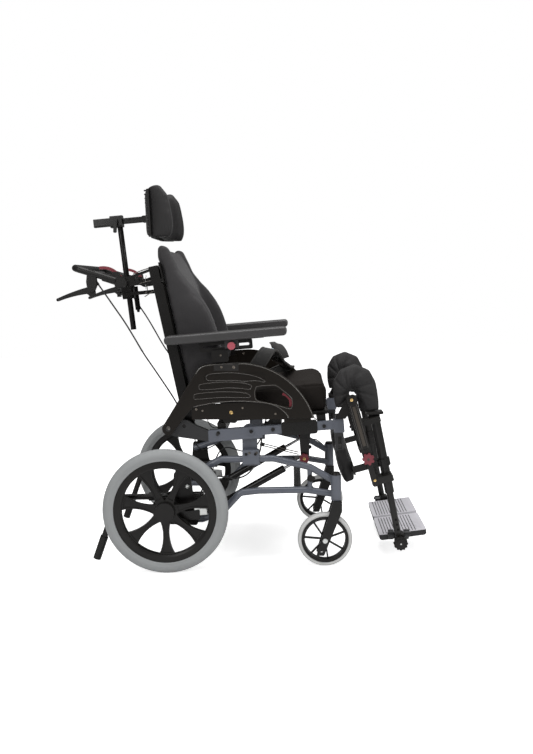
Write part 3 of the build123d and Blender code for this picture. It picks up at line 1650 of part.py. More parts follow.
foot_end_at = 428.0
foot_start_at = 150.0
foot_end = down_leg_tube(foot_end_at).origin
foot_x = foot_end.X - rear_axle_x
foot_z = foot_end.Z
flip_y = leg_half_width - 13
flip_z = 92.0
flip_pin_radius = 5.0
with BuildPart() as foot_tube:
    with BuildSketch(down_leg_tube(foot_start_at)):
        Circle(foot_tube_radius)
    extrude(amount=foot_end_at - foot_start_at)
    # Hinge block at the foot, with the footplate's pin along the chair and a star knob outside.
    block(side(-flip_y - 6), (foot_x - 14, foot_z - 6), (foot_x + 14, flip_z + 8), 26, corner=5)
    block(side(-flip_y + 7), (foot_x - 14, flip_z - 8), (foot_x + 14, flip_z + 8), 16, corner=5)
    with BuildSketch(side(-flip_y - 32)):
        with Locations((foot_x, foot_z + 6)):
            Circle(15)
            with PolarLocations(15, 7):
                Circle(4.4)
    extrude(amount=13)
    with BuildSketch(
        Plane(origin=(foot_end.X - 38, -flip_y, flip_z), x_dir=(0, 1, 0), z_dir=(1, 0, 0))
    ):
        Circle(flip_pin_radius)
    extrude(amount=76)
keep_pair(foot_tube.part, "foot_tube")

footplate_outer = flip_y - 22
groove_count = 11
with BuildPart() as footplate:
    tread = tilted(footplate_rear, -footplate_outer + footplate_width, footplate_top, footplate_slope)
    with BuildSketch(tread):
        with BuildLine():
            Polyline(
                (0, 0),
                (footplate_length, 0),
                (footplate_length, -footplate_thickness + 4),
                (footplate_length - 8, -footplate_thickness),
                (6, -footplate_thickness),
                (0, -footplate_thickness + 4),
                close=True,
            )
        make_face()
    extrude(amount=footplate_width)
    fillet(edges().filter_by(Axis.Z, tolerance=12).sort_by(SortBy.LENGTH)[-4:], 6)
    # Grooves along the tread.
    for groove in range(groove_count):
        groove_y = -footplate_outer + 16 + groove * (footplate_width - 32) / (groove_count - 1)
        block(
            tilted(footplate_rear, groove_y + 1.2, footplate_top, footplate_slope),
            (14, -1.4),
            (footplate_length - 14, 2),
            2.4,
            mode=Mode.SUBTRACT,
        )
    # Two lugs on the outer edge swing on the foot tube's pin.
    for lug_x in (foot_x - 34, foot_x + 17):
        with BuildSketch(Plane(origin=(rear_axle_x + lug_x, 0, 0), x_dir=(0, 1, 0), z_dir=(1, 0, 0))):
            with BuildLine():
                Polyline((-footplate_outer - 2, flip_z + 8), (-flip_y, flip_z + 9))
                ThreePointArc((-flip_y, flip_z + 9), (-flip_y - 9, flip_z), (-flip_y, flip_z - 9))
                Polyline(
                    (-flip_y, flip_z - 9),
                    (-footplate_outer - 2, footplate_top - 16),
                    (-footplate_outer + 3, footplate_top - 16),
                    (-footplate_outer + 3, flip_z + 4),
                    (-footplate_outer - 2, flip_z + 8),
                )
            make_face()
            with Locations((-flip_y, flip_z)):
                Circle(flip_pin_radius + running_clearance, mode=Mode.SUBTRACT)
        extrude(amount=17)
keep_pair(footplate.part, "footplate")

# ---------------------------------------------------------------- cables
def cable(points, radius):
    """A cable along straight runs joined by the largest arcs that the runs allow."""
    stops = [Vector(x + rear_axle_x, y, z) for x, y, z in points]
    runs = [after - before for before, after in zip(stops, stops[1:])]
    bends = []
    for before, after in zip(runs, runs[1:]):
        turn = radians(before.get_angle(after))
        bends.append(0.45 * min(before.length, after.length) / tan(turn / 2))
    print("bend radii", [round(bend) for bend in bends])
    with BuildLine() as route:
        FilletPolyline(*stops, radius=bends)
    with BuildSketch(Plane(origin=route.line @ 0, z_dir=route.line % 0)) as section:
        Circle(radius)
    sweep(section.sketch, path=route.line)
    length = sum(edge.length for edge in route.edges())
    print("length", round(length), "section times length", round(pi * radius**2 * length))


cable_start = stop_root - Vector(rear_axle_x, 0, 0) + cable_out * (cable_stop_length + 0.3)
with BuildPart() as back_cable:
    cable(
        (
            tuple(cable_start),
            (-182, -push_half_width, 901),
            (-155, -push_half_width + 2, 858),
            (-124, -push_half_width + 4, 810),
            (-95, -push_half_width + 6, 757),
            (-68, -push_half_width + 8, 705),
            (-37, -push_half_width + 10, 656),
            (-8, -push_half_width + 12, 609),
            (20, -push_half_width + 14, 563),
            (40, -push_half_width + 15, 525),
            (51, -push_half_width + 15.5, 495),
            (recline_pivot_x - 0.4, -push_half_width + 16, recline_pivot_z + 0.7),
        ),
        cable_radius,
    )
keep_both(back_cable.part, "back_cables")

with BuildPart() as seat_cable:
    cable(
        (
            (recline_pivot_x + 0.4, -frame_half_width + 52, recline_pivot_z - 0.7),
            (80, -frame_half_width + 52.5, 447),
            (112, -frame_half_width + 52, 427),
            (156, -frame_half_width + 49, 417),
            (203, -frame_half_width + 43, 415),
            (246, -frame_half_width + 34, 424),
            (tilt_pivot_x - 1.1, -frame_half_width + 26, tilt_pivot_z - 0.7),
        ),
        cable_radius,
    )
keep_both(seat_cable.part, "seat_cables")

with BuildPart() as brake_cable:
    cable(
        (
            (tilt_pivot_x + 1.1, -frame_half_width + 25.7, tilt_pivot_z + 0.6),
            (296, -frame_half_width + 25, 449),
            (309, -frame_half_width + 24.5, 440),
            (313, -frame_half_width + 25, 420),
            (309, -frame_half_width + 26, 388),
            (298, -frame_half_width + 27, 352),
            (282, -frame_half_width + 27.5, 318),
            (257, -frame_half_width + 27, 293),
            (222, -frame_half_width + 24, 284),
            (188, -frame_half_width + 17, 294),
            (158, -frame_half_width + 2, 300),
            (130, -frame_half_width - 16, 284),
            (113, -frame_half_width - 25, 256),
            (102, -frame_half_width - 26, 226),
            (95, -frame_half_width - 26, 199.6),
        ),
        cable_radius,
    )
keep_both(brake_cable.part, "brake_cables")
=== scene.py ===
# %% [markdown]
# # A tilt in space wheelchair
# This notebook dresses a finished mechanical model of a wheelchair. The frame, wheels, levers and
# joints come in ready made and stay exactly where they are. What is made here is everything that
# gives the chair its look: the upholstery, the belt, the cables, the tyres, small fittings, and a
# finish for every surface.

import json
from functools import partial
from math import atan2, cos, pi, radians, sin, sqrt

import bmesh
import bpy
from mathutils import Matrix, Vector

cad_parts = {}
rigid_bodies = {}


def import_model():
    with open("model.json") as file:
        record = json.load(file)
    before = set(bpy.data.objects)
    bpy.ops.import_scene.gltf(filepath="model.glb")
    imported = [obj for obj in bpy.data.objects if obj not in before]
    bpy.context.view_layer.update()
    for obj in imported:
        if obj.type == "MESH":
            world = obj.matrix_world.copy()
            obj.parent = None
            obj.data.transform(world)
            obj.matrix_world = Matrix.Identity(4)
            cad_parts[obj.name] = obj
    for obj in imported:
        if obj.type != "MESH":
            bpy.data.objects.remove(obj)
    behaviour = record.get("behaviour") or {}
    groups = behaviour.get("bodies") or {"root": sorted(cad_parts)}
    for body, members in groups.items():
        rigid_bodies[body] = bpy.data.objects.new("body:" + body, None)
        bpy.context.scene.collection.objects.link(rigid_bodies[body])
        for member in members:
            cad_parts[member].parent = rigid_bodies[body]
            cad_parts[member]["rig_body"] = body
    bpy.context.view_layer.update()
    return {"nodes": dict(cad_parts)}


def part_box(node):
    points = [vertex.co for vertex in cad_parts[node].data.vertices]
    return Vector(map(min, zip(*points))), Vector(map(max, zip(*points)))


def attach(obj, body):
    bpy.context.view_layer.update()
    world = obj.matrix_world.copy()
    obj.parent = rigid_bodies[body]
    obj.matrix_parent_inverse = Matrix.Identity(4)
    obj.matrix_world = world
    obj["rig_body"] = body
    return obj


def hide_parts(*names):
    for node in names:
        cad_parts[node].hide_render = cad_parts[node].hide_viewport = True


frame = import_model()
nodes = frame["nodes"]

# %% [markdown]
# The model is in metres with the floor at zero. It is easier to think in millimetres ahead of the
# rear axle, because that is how a chair is measured, so `at` turns such a place into the frame's
# own metres. The two sides mirror each other, and `SIDES` lets one loop make both.

# %% Places in millimetres from the rear axle
wheel_low, wheel_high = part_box("tyre_right")
AXLE_X = (wheel_low[0] + wheel_high[0]) / 2
SIDES = (("right", -1), ("left", 1))


def at(x, y, z):
    """A point x ahead of the rear axle, y to the left and z up, all in millimetres."""
    return Vector((AXLE_X + x / 1000, y / 1000, z / 1000))


def add_object(name, data):
    """A new object in the scene, at the origin."""
    made = bpy.data.objects.new(name, data)
    bpy.context.scene.collection.objects.link(made)
    return made


print("rear axle at", round(AXLE_X, 4))

# %% [markdown]
# ## Camera
# The chair is seen from its right side, from nearly three metres away and a little above the seat.
# The direction is given by how far the camera looks round, down and how much it leans.

# %% Camera
IMAGE_SIZE = (533, 754)
FOCAL_PIXELS = 801.69
CAMERA_PLACE = (425.84, -2793.36, 914.71)
CAMERA_YAW = -0.0358
CAMERA_PITCH = 0.1141
CAMERA_LEAN = -0.0276

camera_data = bpy.data.cameras.new("camera")
camera_data.sensor_width = 36.0
camera_data.lens = FOCAL_PIXELS * camera_data.sensor_width / max(IMAGE_SIZE)
camera_data.clip_end = 50.0
camera = add_object("camera", camera_data)
looking = Vector(
    (sin(CAMERA_YAW) * cos(CAMERA_PITCH), cos(CAMERA_YAW) * cos(CAMERA_PITCH), -sin(CAMERA_PITCH))
)
level_right = Vector((cos(CAMERA_YAW), -sin(CAMERA_YAW), 0))
straight_up = level_right.cross(looking)
right = level_right * cos(CAMERA_LEAN) + straight_up * sin(CAMERA_LEAN)
up = straight_up * cos(CAMERA_LEAN) - level_right * sin(CAMERA_LEAN)
turn = Matrix((right, up, -looking)).transposed()
camera.matrix_world = Matrix.Translation(at(*CAMERA_PLACE)) @ turn.to_4x4()
bpy.context.scene.camera = camera
print("lens", round(camera_data.lens, 2), "mm")

# %% [markdown]
# ## Studio
# A product picture is lit by large soft lamps, so that dark plastic and cloth show their form by
# broad highlights. Three area lamps do that: one above, one from the front and one from the
# camera's side. The floor is white and takes a faint shadow. Seen by the camera alone it also
# glows a little, so that it reads as white paper.

# %% Floor and surround
scene = bpy.context.scene
scene.view_settings.view_transform = "Standard"
FLOOR_RADIUS = 9.0
FLOOR_SHADE = 0.86
# The floor's glow rises between two distances from its middle, both in metres.
FLOOR_GLOW = (("From Min", 1.2), ("From Max", 3.0), ("To Min", 0.7), ("To Max", 1.0))
WORLD_LIGHT = (("To Min", 0.22), ("To Max", 1.0))  # what lights the chair, and what is seen


def mesh_from(form, name, smooth=True):
    """Turns a bmesh into an object and frees it."""
    mesh = bpy.data.meshes.new(name)
    form.to_mesh(mesh)
    form.free()
    for face in mesh.polygons:
        face.use_smooth = smooth
    return add_object(name, mesh)


def seen_directly(tree):
    """One for rays that the camera sends, else nought."""
    return tree.nodes.new("ShaderNodeLightPath").outputs["Is Camera Ray"]


floor_form = bmesh.new()
bmesh.ops.create_circle(floor_form, cap_ends=True, segments=64, radius=FLOOR_RADIUS)
floor = mesh_from(floor_form, "floor", smooth=False)
floor_paint = bpy.data.materials.new("floor_white")
floor_paint.use_nodes = True
floor_tree = floor_paint.node_tree
floor_shader = floor_tree.nodes["Principled BSDF"]
floor_shader.inputs["Base Color"].default_value = (FLOOR_SHADE, FLOOR_SHADE, FLOOR_SHADE, 1)
floor_shader.inputs["Roughness"].default_value = 0.9
floor_shader.inputs["Emission Color"].default_value = (1, 1, 1, 1)
floor_point = floor_tree.nodes.new("ShaderNodeTexCoord")
far_off = floor_tree.nodes.new("ShaderNodeVectorMath")
far_off.operation = "LENGTH"
floor_tree.links.new(floor_point.outputs["Object"], far_off.inputs[0])
fade = floor_tree.nodes.new("ShaderNodeMapRange")
for name, value in FLOOR_GLOW:
    fade.inputs[name].default_value = value
floor_tree.links.new(far_off.outputs["Value"], fade.inputs["Value"])
glow = floor_tree.nodes.new("ShaderNodeMath")
glow.operation = "MULTIPLY"
floor_tree.links.new(seen_directly(floor_tree), glow.inputs[0])
floor_tree.links.new(fade.outputs[0], glow.inputs[1])
floor_tree.links.new(glow.outputs[0], floor_shader.inputs["Emission Strength"])
floor.data.materials.append(floor_paint)

world = bpy.data.worlds.new("studio")
world.use_nodes = True
scene.world = world
world_tree = world.node_tree
background = world_tree.nodes["Background"]
background.inputs["Color"].default_value = (1, 1, 1, 1)
dimmer = world_tree.nodes.new("ShaderNodeMapRange")
for name, value in WORLD_LIGHT:
    dimmer.inputs[name].default_value = value
world_tree.links.new(seen_directly(world_tree), dimmer.inputs["Value"])
world_tree.links.new(dimmer.outputs[0], background.inputs["Strength"])
print("floor", floor.name, "world", world.name)

# %% Lamps


def soft_lamp(name, place, target, size, power):
    """A square lamp at a place that faces a target, both in metres."""
    data = bpy.data.lights.new(name, "AREA")
    data.shape = "SQUARE"
    data.size = size
    data.energy = power
    lamp = add_object(name, data)
    lamp.location = place
    lamp.rotation_euler = (Vector(target) - Vector(place)).to_track_quat("-Z", "Y").to_euler()


soft_lamp("lamp_above", (0.2, -0.4, 3.2), (0, 0, 0.5), 2.2, 100)
soft_lamp("lamp_front", (2.6, -1.6, 1.7), (0, 0, 0.6), 1.6, 36)
soft_lamp("lamp_side", (-1.8, -2.8, 1.9), (0, 0, 0.5), 1.4, 44)

# %% [markdown]
# ## Finishes
# Each finish is one Principled material. What they share is built once as a node group: `Grain`
# breaks a plain colour and gives fine bumps, `Weave` is the mesh of a knitted or woven cloth, and
# `Region` is a mask that is one inside a box, which is how a screw head or a knob that is part of
# a larger piece gets a colour of its own. All three read object coordinates, and as the frame's
# parts sit at the origin, these are places on the chair.

# %% Shared node groups


def group_with(name, inputs, outputs):
    """An empty node group with its sockets, and its two end nodes."""
    group = bpy.data.node_groups.new(name, "ShaderNodeTree")
    for socket, kind, value in inputs:
        made = group.interface.new_socket(socket, in_out="INPUT", socket_type=kind)
        if value is not None:
            made.default_value = value
    for socket, kind in outputs:
        group.interface.new_socket(socket, in_out="OUTPUT", socket_type=kind)
    return group, group.nodes.new("NodeGroupInput"), group.nodes.new("NodeGroupOutput")


def math_node(tree, operation, first, second=None, third=None):
    """A math node whose inputs are sockets or numbers."""
    node = tree.nodes.new("ShaderNodeMath")
    node.operation = operation
    for index, value in enumerate((first, second, third)):
        if value is None:
            continue
        if isinstance(value, (int, float)):
            node.inputs[index].default_value = value
        else:
            tree.links.new(value, node.inputs[index])
    return node.outputs[0]


def vector_node(tree, operation, first, second):
    """A vector math node whose inputs are sockets."""
    node = tree.nodes.new("ShaderNodeVectorMath")
    node.operation = operation
    tree.links.new(first, node.inputs[0])
    tree.links.new(second, node.inputs[1])
    return node.outputs[0]


grain, grain_in, grain_out = group_with(
    "Grain",
    (("Vector", "NodeSocketVector", None), ("Scale", "NodeSocketFloat", 400.0)),
    (("Shade", "NodeSocketFloat"), ("Height", "NodeSocketFloat")),
)
fine = grain.nodes.new("ShaderNodeTexNoise")
fine.inputs["Detail"].default_value = 3.0
broad = grain.nodes.new("ShaderNodeTexNoise")
broad.inputs["Scale"].default_value = 14.0
broad.inputs["Detail"].default_value = 2.0
for texture in (fine, broad):
    grain.links.new(grain_in.outputs["Vector"], texture.inputs["Vector"])
grain.links.new(grain_in.outputs["Scale"], fine.inputs["Scale"])
FINE_SHARE = 0.45  # of a grain's shade; the rest is broad clouds
fine_part = math_node(grain, "MULTIPLY", fine.outputs[0], FINE_SHARE)
shade = math_node(grain, "MULTIPLY_ADD", broad.outputs[0], 1 - FINE_SHARE, fine_part)
grain.links.new(shade, grain_out.inputs["Shade"])
grain.links.new(fine.outputs[0], grain_out.inputs["Height"])

weave, weave_in, weave_out = group_with(
    "Weave",
    (("Vector", "NodeSocketVector", None), ("Threads", "NodeSocketFloat", 900.0)),
    (("Height", "NodeSocketFloat"), ("Shade", "NodeSocketFloat")),
)
cells = weave.nodes.new("ShaderNodeTexVoronoi")
cells.feature = "F1"
weave.links.new(weave_in.outputs["Vector"], cells.inputs["Vector"])
weave.links.new(weave_in.outputs["Threads"], cells.inputs["Scale"])
loop_height = math_node(weave, "SUBTRACT", 1.0, cells.outputs["Distance"])
weave.links.new(loop_height, weave_out.inputs["Height"])
cloudy = weave.nodes.new("ShaderNodeTexNoise")
cloudy.inputs["Scale"].default_value = 9.0
cloudy.inputs["Detail"].default_value = 4.0
weave.links.new(weave_in.outputs["Vector"], cloudy.inputs["Vector"])
half_cloud = math_node(weave, "MULTIPLY", cloudy.outputs[0], 0.5)
cloth_shade = math_node(weave, "MULTIPLY_ADD", loop_height, 0.5, half_cloud)
weave.links.new(cloth_shade, weave_out.inputs["Shade"])

region, region_in, region_out = group_with(
    "Region",
    tuple((socket, "NodeSocketVector", None) for socket in ("Vector", "Low", "High")),
    (("Inside", "NodeSocketFloat"),),
)
above_low = vector_node(region, "SUBTRACT", region_in.outputs["Vector"], region_in.outputs["Low"])
below_high = vector_node(region, "SUBTRACT", region_in.outputs["High"], region_in.outputs["Vector"])
nearest = region.nodes.new("ShaderNodeSeparateXYZ")
region.links.new(vector_node(region, "MINIMUM", above_low, below_high), nearest.inputs[0])
smallest = math_node(region, "MINIMUM", nearest.outputs[0], nearest.outputs[1])
smallest = math_node(region, "MINIMUM", smallest, nearest.outputs[2])
region.links.new(math_node(region, "GREATER_THAN", smallest, 0.0), region_out.inputs["Inside"])
print("node groups", [group.name for group in bpy.data.node_groups])

# %% [markdown]
# `finish` makes a material. Its colour varies between two shades by the grain or weave, its bumps
# come from the same pattern, and `spots` lists boxes that take another colour, roughness and
# metalness. Boxes are given for the right side and hold on the left as well, because the mask
# reads the distance from the chair's middle.

# %% Material maker


def mix(tree, kind, factor, first, second):
    """Mixes two colours or two numbers by a factor. Each may be a socket or a value."""
    node = tree.nodes.new("ShaderNodeMix")
    node.data_type = kind
    sockets = {"FLOAT": (2, 3, 0), "RGBA": (6, 7, 2)}[kind]
    tree.links.new(factor, node.inputs[0])
    for index, value in zip(sockets, (first, second)):
        if isinstance(value, bpy.types.NodeSocket):
            tree.links.new(value, node.inputs[index])
        else:
            node.inputs[index].default_value = value
    return node.outputs[sockets[2]]


def chair_point(tree):
    """Object coordinates with the distance from the middle in place of y."""
    coordinates = tree.nodes.new("ShaderNodeTexCoord")
    parts = tree.nodes.new("ShaderNodeSeparateXYZ")
    tree.links.new(coordinates.outputs["Object"], parts.inputs[0])
    folded = tree.nodes.new("ShaderNodeCombineXYZ")
    tree.links.new(parts.outputs[0], folded.inputs[0])
    tree.links.new(math_node(tree, "ABSOLUTE", parts.outputs[1]), folded.inputs[1])
    tree.links.new(parts.outputs[2], folded.inputs[2])
    return coordinates.outputs["Object"], folded.outputs[0]


ROUGH_SPREAD = 0.16  # how far the roughness varies with the shade


def finish(
    name, dark, light, rough, bump, pattern=grain, scale=400.0,
    metal=0.0, spots=(), sheen=0.0, coat=0.0, shine=0.35,
):
    """A material from two shades, a roughness, a bump depth in millimetres and a shared pattern."""
    material = bpy.data.materials.new(name)
    material.use_nodes = True
    tree = material.node_tree
    shader = tree.nodes["Principled BSDF"]
    plain, folded = chair_point(tree)
    texture = tree.nodes.new("ShaderNodeGroup")
    texture.node_tree = pattern
    tree.links.new(plain, texture.inputs["Vector"])
    texture.inputs[1].default_value = scale
    colour = mix(tree, "RGBA", texture.outputs["Shade"], (*dark, 1), (*light, 1))
    smoothest = rough - ROUGH_SPREAD / 2
    roughness = math_node(tree, "MULTIPLY_ADD", texture.outputs["Shade"], ROUGH_SPREAD, smoothest)
    metalness = None
    for low, high, spot_colour, spot_rough, spot_metal in spots:
        mask = tree.nodes.new("ShaderNodeGroup")
        mask.node_tree = region
        tree.links.new(folded, mask.inputs["Vector"])
        mask.inputs["Low"].default_value = at(*low)
        mask.inputs["High"].default_value = at(*high)
        inside = mask.outputs["Inside"]
        colour = mix(tree, "RGBA", inside, colour, (*spot_colour, 1))
        roughness = mix(tree, "FLOAT", inside, roughness, spot_rough)
        around = metal if metalness is None else metalness
        metalness = mix(tree, "FLOAT", inside, around, spot_metal)
    tree.links.new(colour, shader.inputs["Base Color"])
    tree.links.new(roughness, shader.inputs["Roughness"])
    if metalness is not None:
        tree.links.new(metalness, shader.inputs["Metallic"])
    for socket, value in (
        ("Metallic", metal),
        ("Sheen Weight", sheen),
        ("Sheen Roughness", 0.4),
        ("Coat Weight", coat),
        ("Coat Roughness", 0.12),
        ("Specular IOR Level", shine),
    ):
        shader.inputs[socket].default_value = value
    bumps = tree.nodes.new("ShaderNodeBump")
    bumps.inputs["Strength"].default_value = 1.0
    bumps.inputs["Distance"].default_value = bump / 1000
    tree.links.new(texture.outputs["Height"], bumps.inputs["Height"])
    tree.links.new(bumps.outputs[0], shader.inputs["Normal"])
    return material


# %% Colours of knobs, screws and marks
ZINC = (0.62, 0.63, 0.62)
MAROON = (0.17, 0.035, 0.045)
BLACK = (0.012, 0.012, 0.013)
HOLE_SHADE = (0.0008, 0.0008, 0.0008)
OUT = 400  # farther from the middle than any piece

# %% [markdown]
# The spots that follow are the parts of larger pieces that are another colour on the real chair:
# zinc castor bolts, black screw heads in the blue-grey rail, the black castings at its two ends and
# a maroon knob on the legrest. The row of holes in the footrest's tube gets near black spots, which
# are painted shade inside the holes.

# %% Materials of the frame
frame_paint = finish(
    "frame_paint", (0.072, 0.079, 0.098), (0.098, 0.106, 0.128), 0.36, 0.03,
    scale=900, coat=0.25,
    spots=(
        ((-20, 200, 400), (141, OUT, 520), BLACK, 0.45, 0.0),
        ((165, 250, 425), (190, 258, 450), BLACK, 0.4, 0.0),
        ((340, 250, 435), (356, 258, 462), BLACK, 0.4, 0.0),
        ((505, 250, 440), (525, 258, 475), BLACK, 0.4, 0.0),
        ((536, 200, 370), (600, OUT, 438), BLACK, 0.4, 0.0),
    ),
)
plate_paint = finish(
    "plate_paint", (0.005, 0.0045, 0.0042), (0.01, 0.009, 0.0085), 0.3, 0.03,
    scale=800, shine=0.22,
)
black_paint = finish(
    "black_paint", (0.005, 0.0046, 0.0043), (0.01, 0.0092, 0.0086), 0.26, 0.02,
    scale=900, shine=0.25,
)
black_nylon = finish(
    "black_nylon", (0.006, 0.0055, 0.0052), (0.012, 0.0112, 0.0105), 0.36, 0.04,
    scale=700, shine=0.22,
)
fork_paint = finish(
    "fork_paint", (0.005, 0.0047, 0.0044), (0.011, 0.0103, 0.0097), 0.3, 0.03,
    scale=900, shine=0.25,
    spots=(((500, 276.4, 78), (522, OUT, 100), ZINC, 0.28, 0.9),),
)
LEG_SHADES = ((0.006, 0.0055, 0.005), (0.012, 0.011, 0.01), 0.3, 0.025)
KNOB_SPOT = ((625, 286, 330), (680, OUT, 386), MAROON, 0.42, 0.0)
leg_paint = finish("leg_paint", *LEG_SHADES, scale=900, shine=0.3, spots=(KNOB_SPOT,))
# Painted shade: near black spots on the footrest tube's holes stand for the shade inside them.
HOLES = ((741.5, 147, 3.4), (745, 131, 3.4), (749, 114, 3.4))
hole_spots = [
    ((x - r, 238, z - r), (x + r, OUT, z + r), HOLE_SHADE, 0.95, 0.0) for x, z, r in HOLES
]
foot_paint = finish("foot_paint", *LEG_SHADES, scale=900, shine=0.3, spots=hole_spots)
panel_plastic = finish(
    "panel_plastic", (0.0062, 0.0048, 0.0036), (0.0105, 0.0082, 0.0062), 0.34, 0.02,
    scale=300, shine=0.2,
)
armpad_skin = finish(
    "armpad_skin", (0.03, 0.029, 0.0295), (0.048, 0.0465, 0.047), 0.4, 0.05, scale=1100
)
tyre_rubber = finish(
    "tyre_rubber", (0.215, 0.222, 0.224), (0.272, 0.28, 0.282), 0.6, 0.05, scale=600
)
castor_rubber = finish(
    "castor_rubber", (0.42, 0.42, 0.415), (0.52, 0.52, 0.51), 0.55, 0.04, scale=600
)
polished_rod = finish("polished_rod", (0.45, 0.45, 0.46), (0.55, 0.55, 0.56), 0.22, 0.01, metal=1.0)
red_plastic = finish("red_plastic", (0.13, 0.012, 0.02), (0.2, 0.02, 0.03), 0.36, 0.02, coat=0.3)
cable_skin = finish("cable_skin", (0.012, 0.012, 0.012), (0.02, 0.02, 0.02), 0.35, 0.01)
print(len(bpy.data.materials), "materials so far")

# %% [markdown]
# ## Cables
# The drum brakes are worked by wires in black sleeves. Each runs from the push bar down along the
# back, passes the recline pivot and the tilt pivot on their axes, and ends at the brake. The
# sleeve is a 5 mm round tube, made as a curve through the clips. At every pivot one stretch ends
# and the next begins, so each stretch moves with its own part of the chair.

# %% Cable routes
CABLE_RADIUS = 2.5
BACK_ROUTE = (
    (-201.3, -204, 930.2), (-182, -204, 901), (-155, -202, 858), (-124, -200, 810),
    (-95, -198, 757), (-68, -196, 705), (-37, -194, 656), (-8, -192, 609), (20, -190, 563),
    (40, -189, 525), (51, -188.5, 495), (63.6, -188, 469.7),
)
SEAT_ROUTE = (
    (64.4, -188, 468.3), (80, -187.5, 447), (112, -188, 427), (156, -191, 417), (203, -197, 415),
    (246, -206, 424), (278.9, -214, 444.3),
)
BRAKE_ROUTE = (
    (281.1, -214.3, 445.6), (296, -215, 449), (309, -215.5, 440), (313, -215, 420),
    (309, -214, 388), (298, -213, 352), (282, -212.5, 318), (257, -213, 293), (222, -216, 284),
    (188, -223, 294), (158, -238, 300), (130, -256, 284), (113, -265, 256), (102, -266, 226),
    (95, -266, 199.6),
)


def cable(name, route, side, body):
    """A cable sleeve along its route, on one body. The route is the right side's."""
    curve = bpy.data.curves.new(name, "CURVE")
    curve.dimensions = "3D"
    curve.bevel_depth = CABLE_RADIUS / 1000
    curve.bevel_resolution = 4
    curve.use_fill_caps = True
    line = curve.splines.new("NURBS")
    line.points.add(len(route) - 1)
    for point, (x, y, z) in zip(line.points, route):
        point.co = (*at(x, -side * y, z), 1)
    line.order_u = 3
    line.use_endpoint_u = True
    line.resolution_u = 8
    made = add_object(name, curve)
    made.data.materials.append(cable_skin)
    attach(made, body)
    return made


CABLE_NAMES = (
    ("back_cable", BACK_ROUTE, "backrest", "back_cables"),
    ("seat_cable", SEAT_ROUTE, "seat", "seat_cables"),
    ("brake_cable", BRAKE_ROUTE, "chassis", "brake_cables"),
)

# %% Cables in place
for side_name, side in SIDES:
    for name, route, body, cad_node in CABLE_NAMES:
        made = cable(f"{name}_{side_name}", route, side, body)
        if side_name == "right":
            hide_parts(cad_node)
print("cables", len(CABLE_NAMES) * 2)

# %% [markdown]
# ## Which part wears which finish
# Every part of the frame that still shows gets a material in place of its plain colour. Names that
# end in a side are written once without it.

# %% Finishes on the frame
FRAME_FINISH = {
    part: material
    for material, parts in (
        (frame_paint, "side_frames seat_rails"),
        (plate_paint, "axle_plates"),
        (
            black_paint,
            "cross_tubes drum_brakes seat_base tilt_cylinders recline_cylinder back_frame "
            "headrest_post headrest_bar anti_tip hanger calf_arm",
        ),
        (
            black_nylon,
            "frame_fittings back_shell headrest_shell push_bar arm_post brake_lever wheel "
            "castor_wheel",
        ),
        (polished_rod, "tilt_rods recline_rod"),
        (panel_plastic, "side_panel"),
        (armpad_skin, "arm_pad"),
        (red_plastic, "release_lever"),
        (tyre_rubber, "tyre"),
        (castor_rubber, "castor_tyre"),
        (fork_paint, "castor_fork"),
        (leg_paint, "leg_tube"),
        (foot_paint, "foot_tube"),
    )
    for part in parts.split()
}


def base_name(node):
    """The node's name without its side."""
    return node.removesuffix("_right").removesuffix("_left")


def dress(obj, material):
    """Gives a part one material in every slot."""
    obj.data.materials.clear()
    obj.data.materials.append(material)
    for face in obj.data.polygons:
        face.material_index = 0


for node, obj in nodes.items():
    material = FRAME_FINISH.get(base_name(node))
    if material:
        dress(obj, material)
print("dressed", sum(base_name(node) in FRAME_FINISH for node in nodes))

# %% [markdown]
# The footplates are black plastic with a light grey tread on top. The outer sides, which lie well
# below the tread's own plane, stay black, and so do the lugs on the hinge. Narrow dark stripes
# across the tread are painted shade, standing for the shade in the grooves that cross it and keep a
# shoe from sliding off ahead.

# %% Footplates
TREAD_REAR = at(693, 0, 82)
TREAD_SLOPE = 0.1157  # how much the tread rises for each unit ahead
SIDE_DEPTH = 0.002  # lower than this under the tread, the sides are black
SLIT_HALF = 0.0135  # nearer the middle than this is the slit between the plates
LUG_FROM, LUG_RISE = 0.2155, 0.001  # the lugs are farther out, or stand above the tread
GROOVE_SHADE_PITCH = 0.0096
GROOVE_SHADE_LEVEL = 0.62  # a stripe of painted groove shade is where its wave is higher than this
GROOVE_SHADE_ALONG = (at(703, 0, 0).x, at(816, 0, 0).x)
GROOVE_SHADE_ACROSS = (0.02, 0.196)
GROOVE_SHADE_COLOUR = (0.04, 0.038, 0.04, 1)
foot_plastic = finish("foot_plastic", (0.44, 0.43, 0.46), (0.56, 0.55, 0.58), 0.42, 0.03, scale=500)
foot_tree = foot_plastic.node_tree
foot_shader = foot_tree.nodes["Principled BSDF"]
foot_math = partial(math_node, foot_tree)
foot_place = foot_tree.nodes.new("ShaderNodeSeparateXYZ")
foot_point = foot_tree.nodes.new("ShaderNodeTexCoord")
foot_tree.links.new(foot_point.outputs["Object"], foot_place.inputs[0])
foot_x, foot_y, foot_z = foot_place.outputs
from_middle = foot_math("ABSOLUTE", foot_y)
tread_start = TREAD_REAR.z - TREAD_SLOPE * TREAD_REAR.x
tread_height = foot_math("MULTIPLY_ADD", foot_x, TREAD_SLOPE, tread_start)
tread_depth = foot_math("SUBTRACT", tread_height, foot_z)
is_deep = foot_math("GREATER_THAN", tread_depth, SIDE_DEPTH)
is_deep = foot_math("MULTIPLY", is_deep, foot_math("GREATER_THAN", from_middle, SLIT_HALF))
is_lug = foot_math("GREATER_THAN", from_middle, LUG_FROM)
is_lug = foot_math("MAXIMUM", is_lug, foot_math("LESS_THAN", tread_depth, -LUG_RISE))
is_black = foot_math("MAXIMUM", is_deep, is_lug)
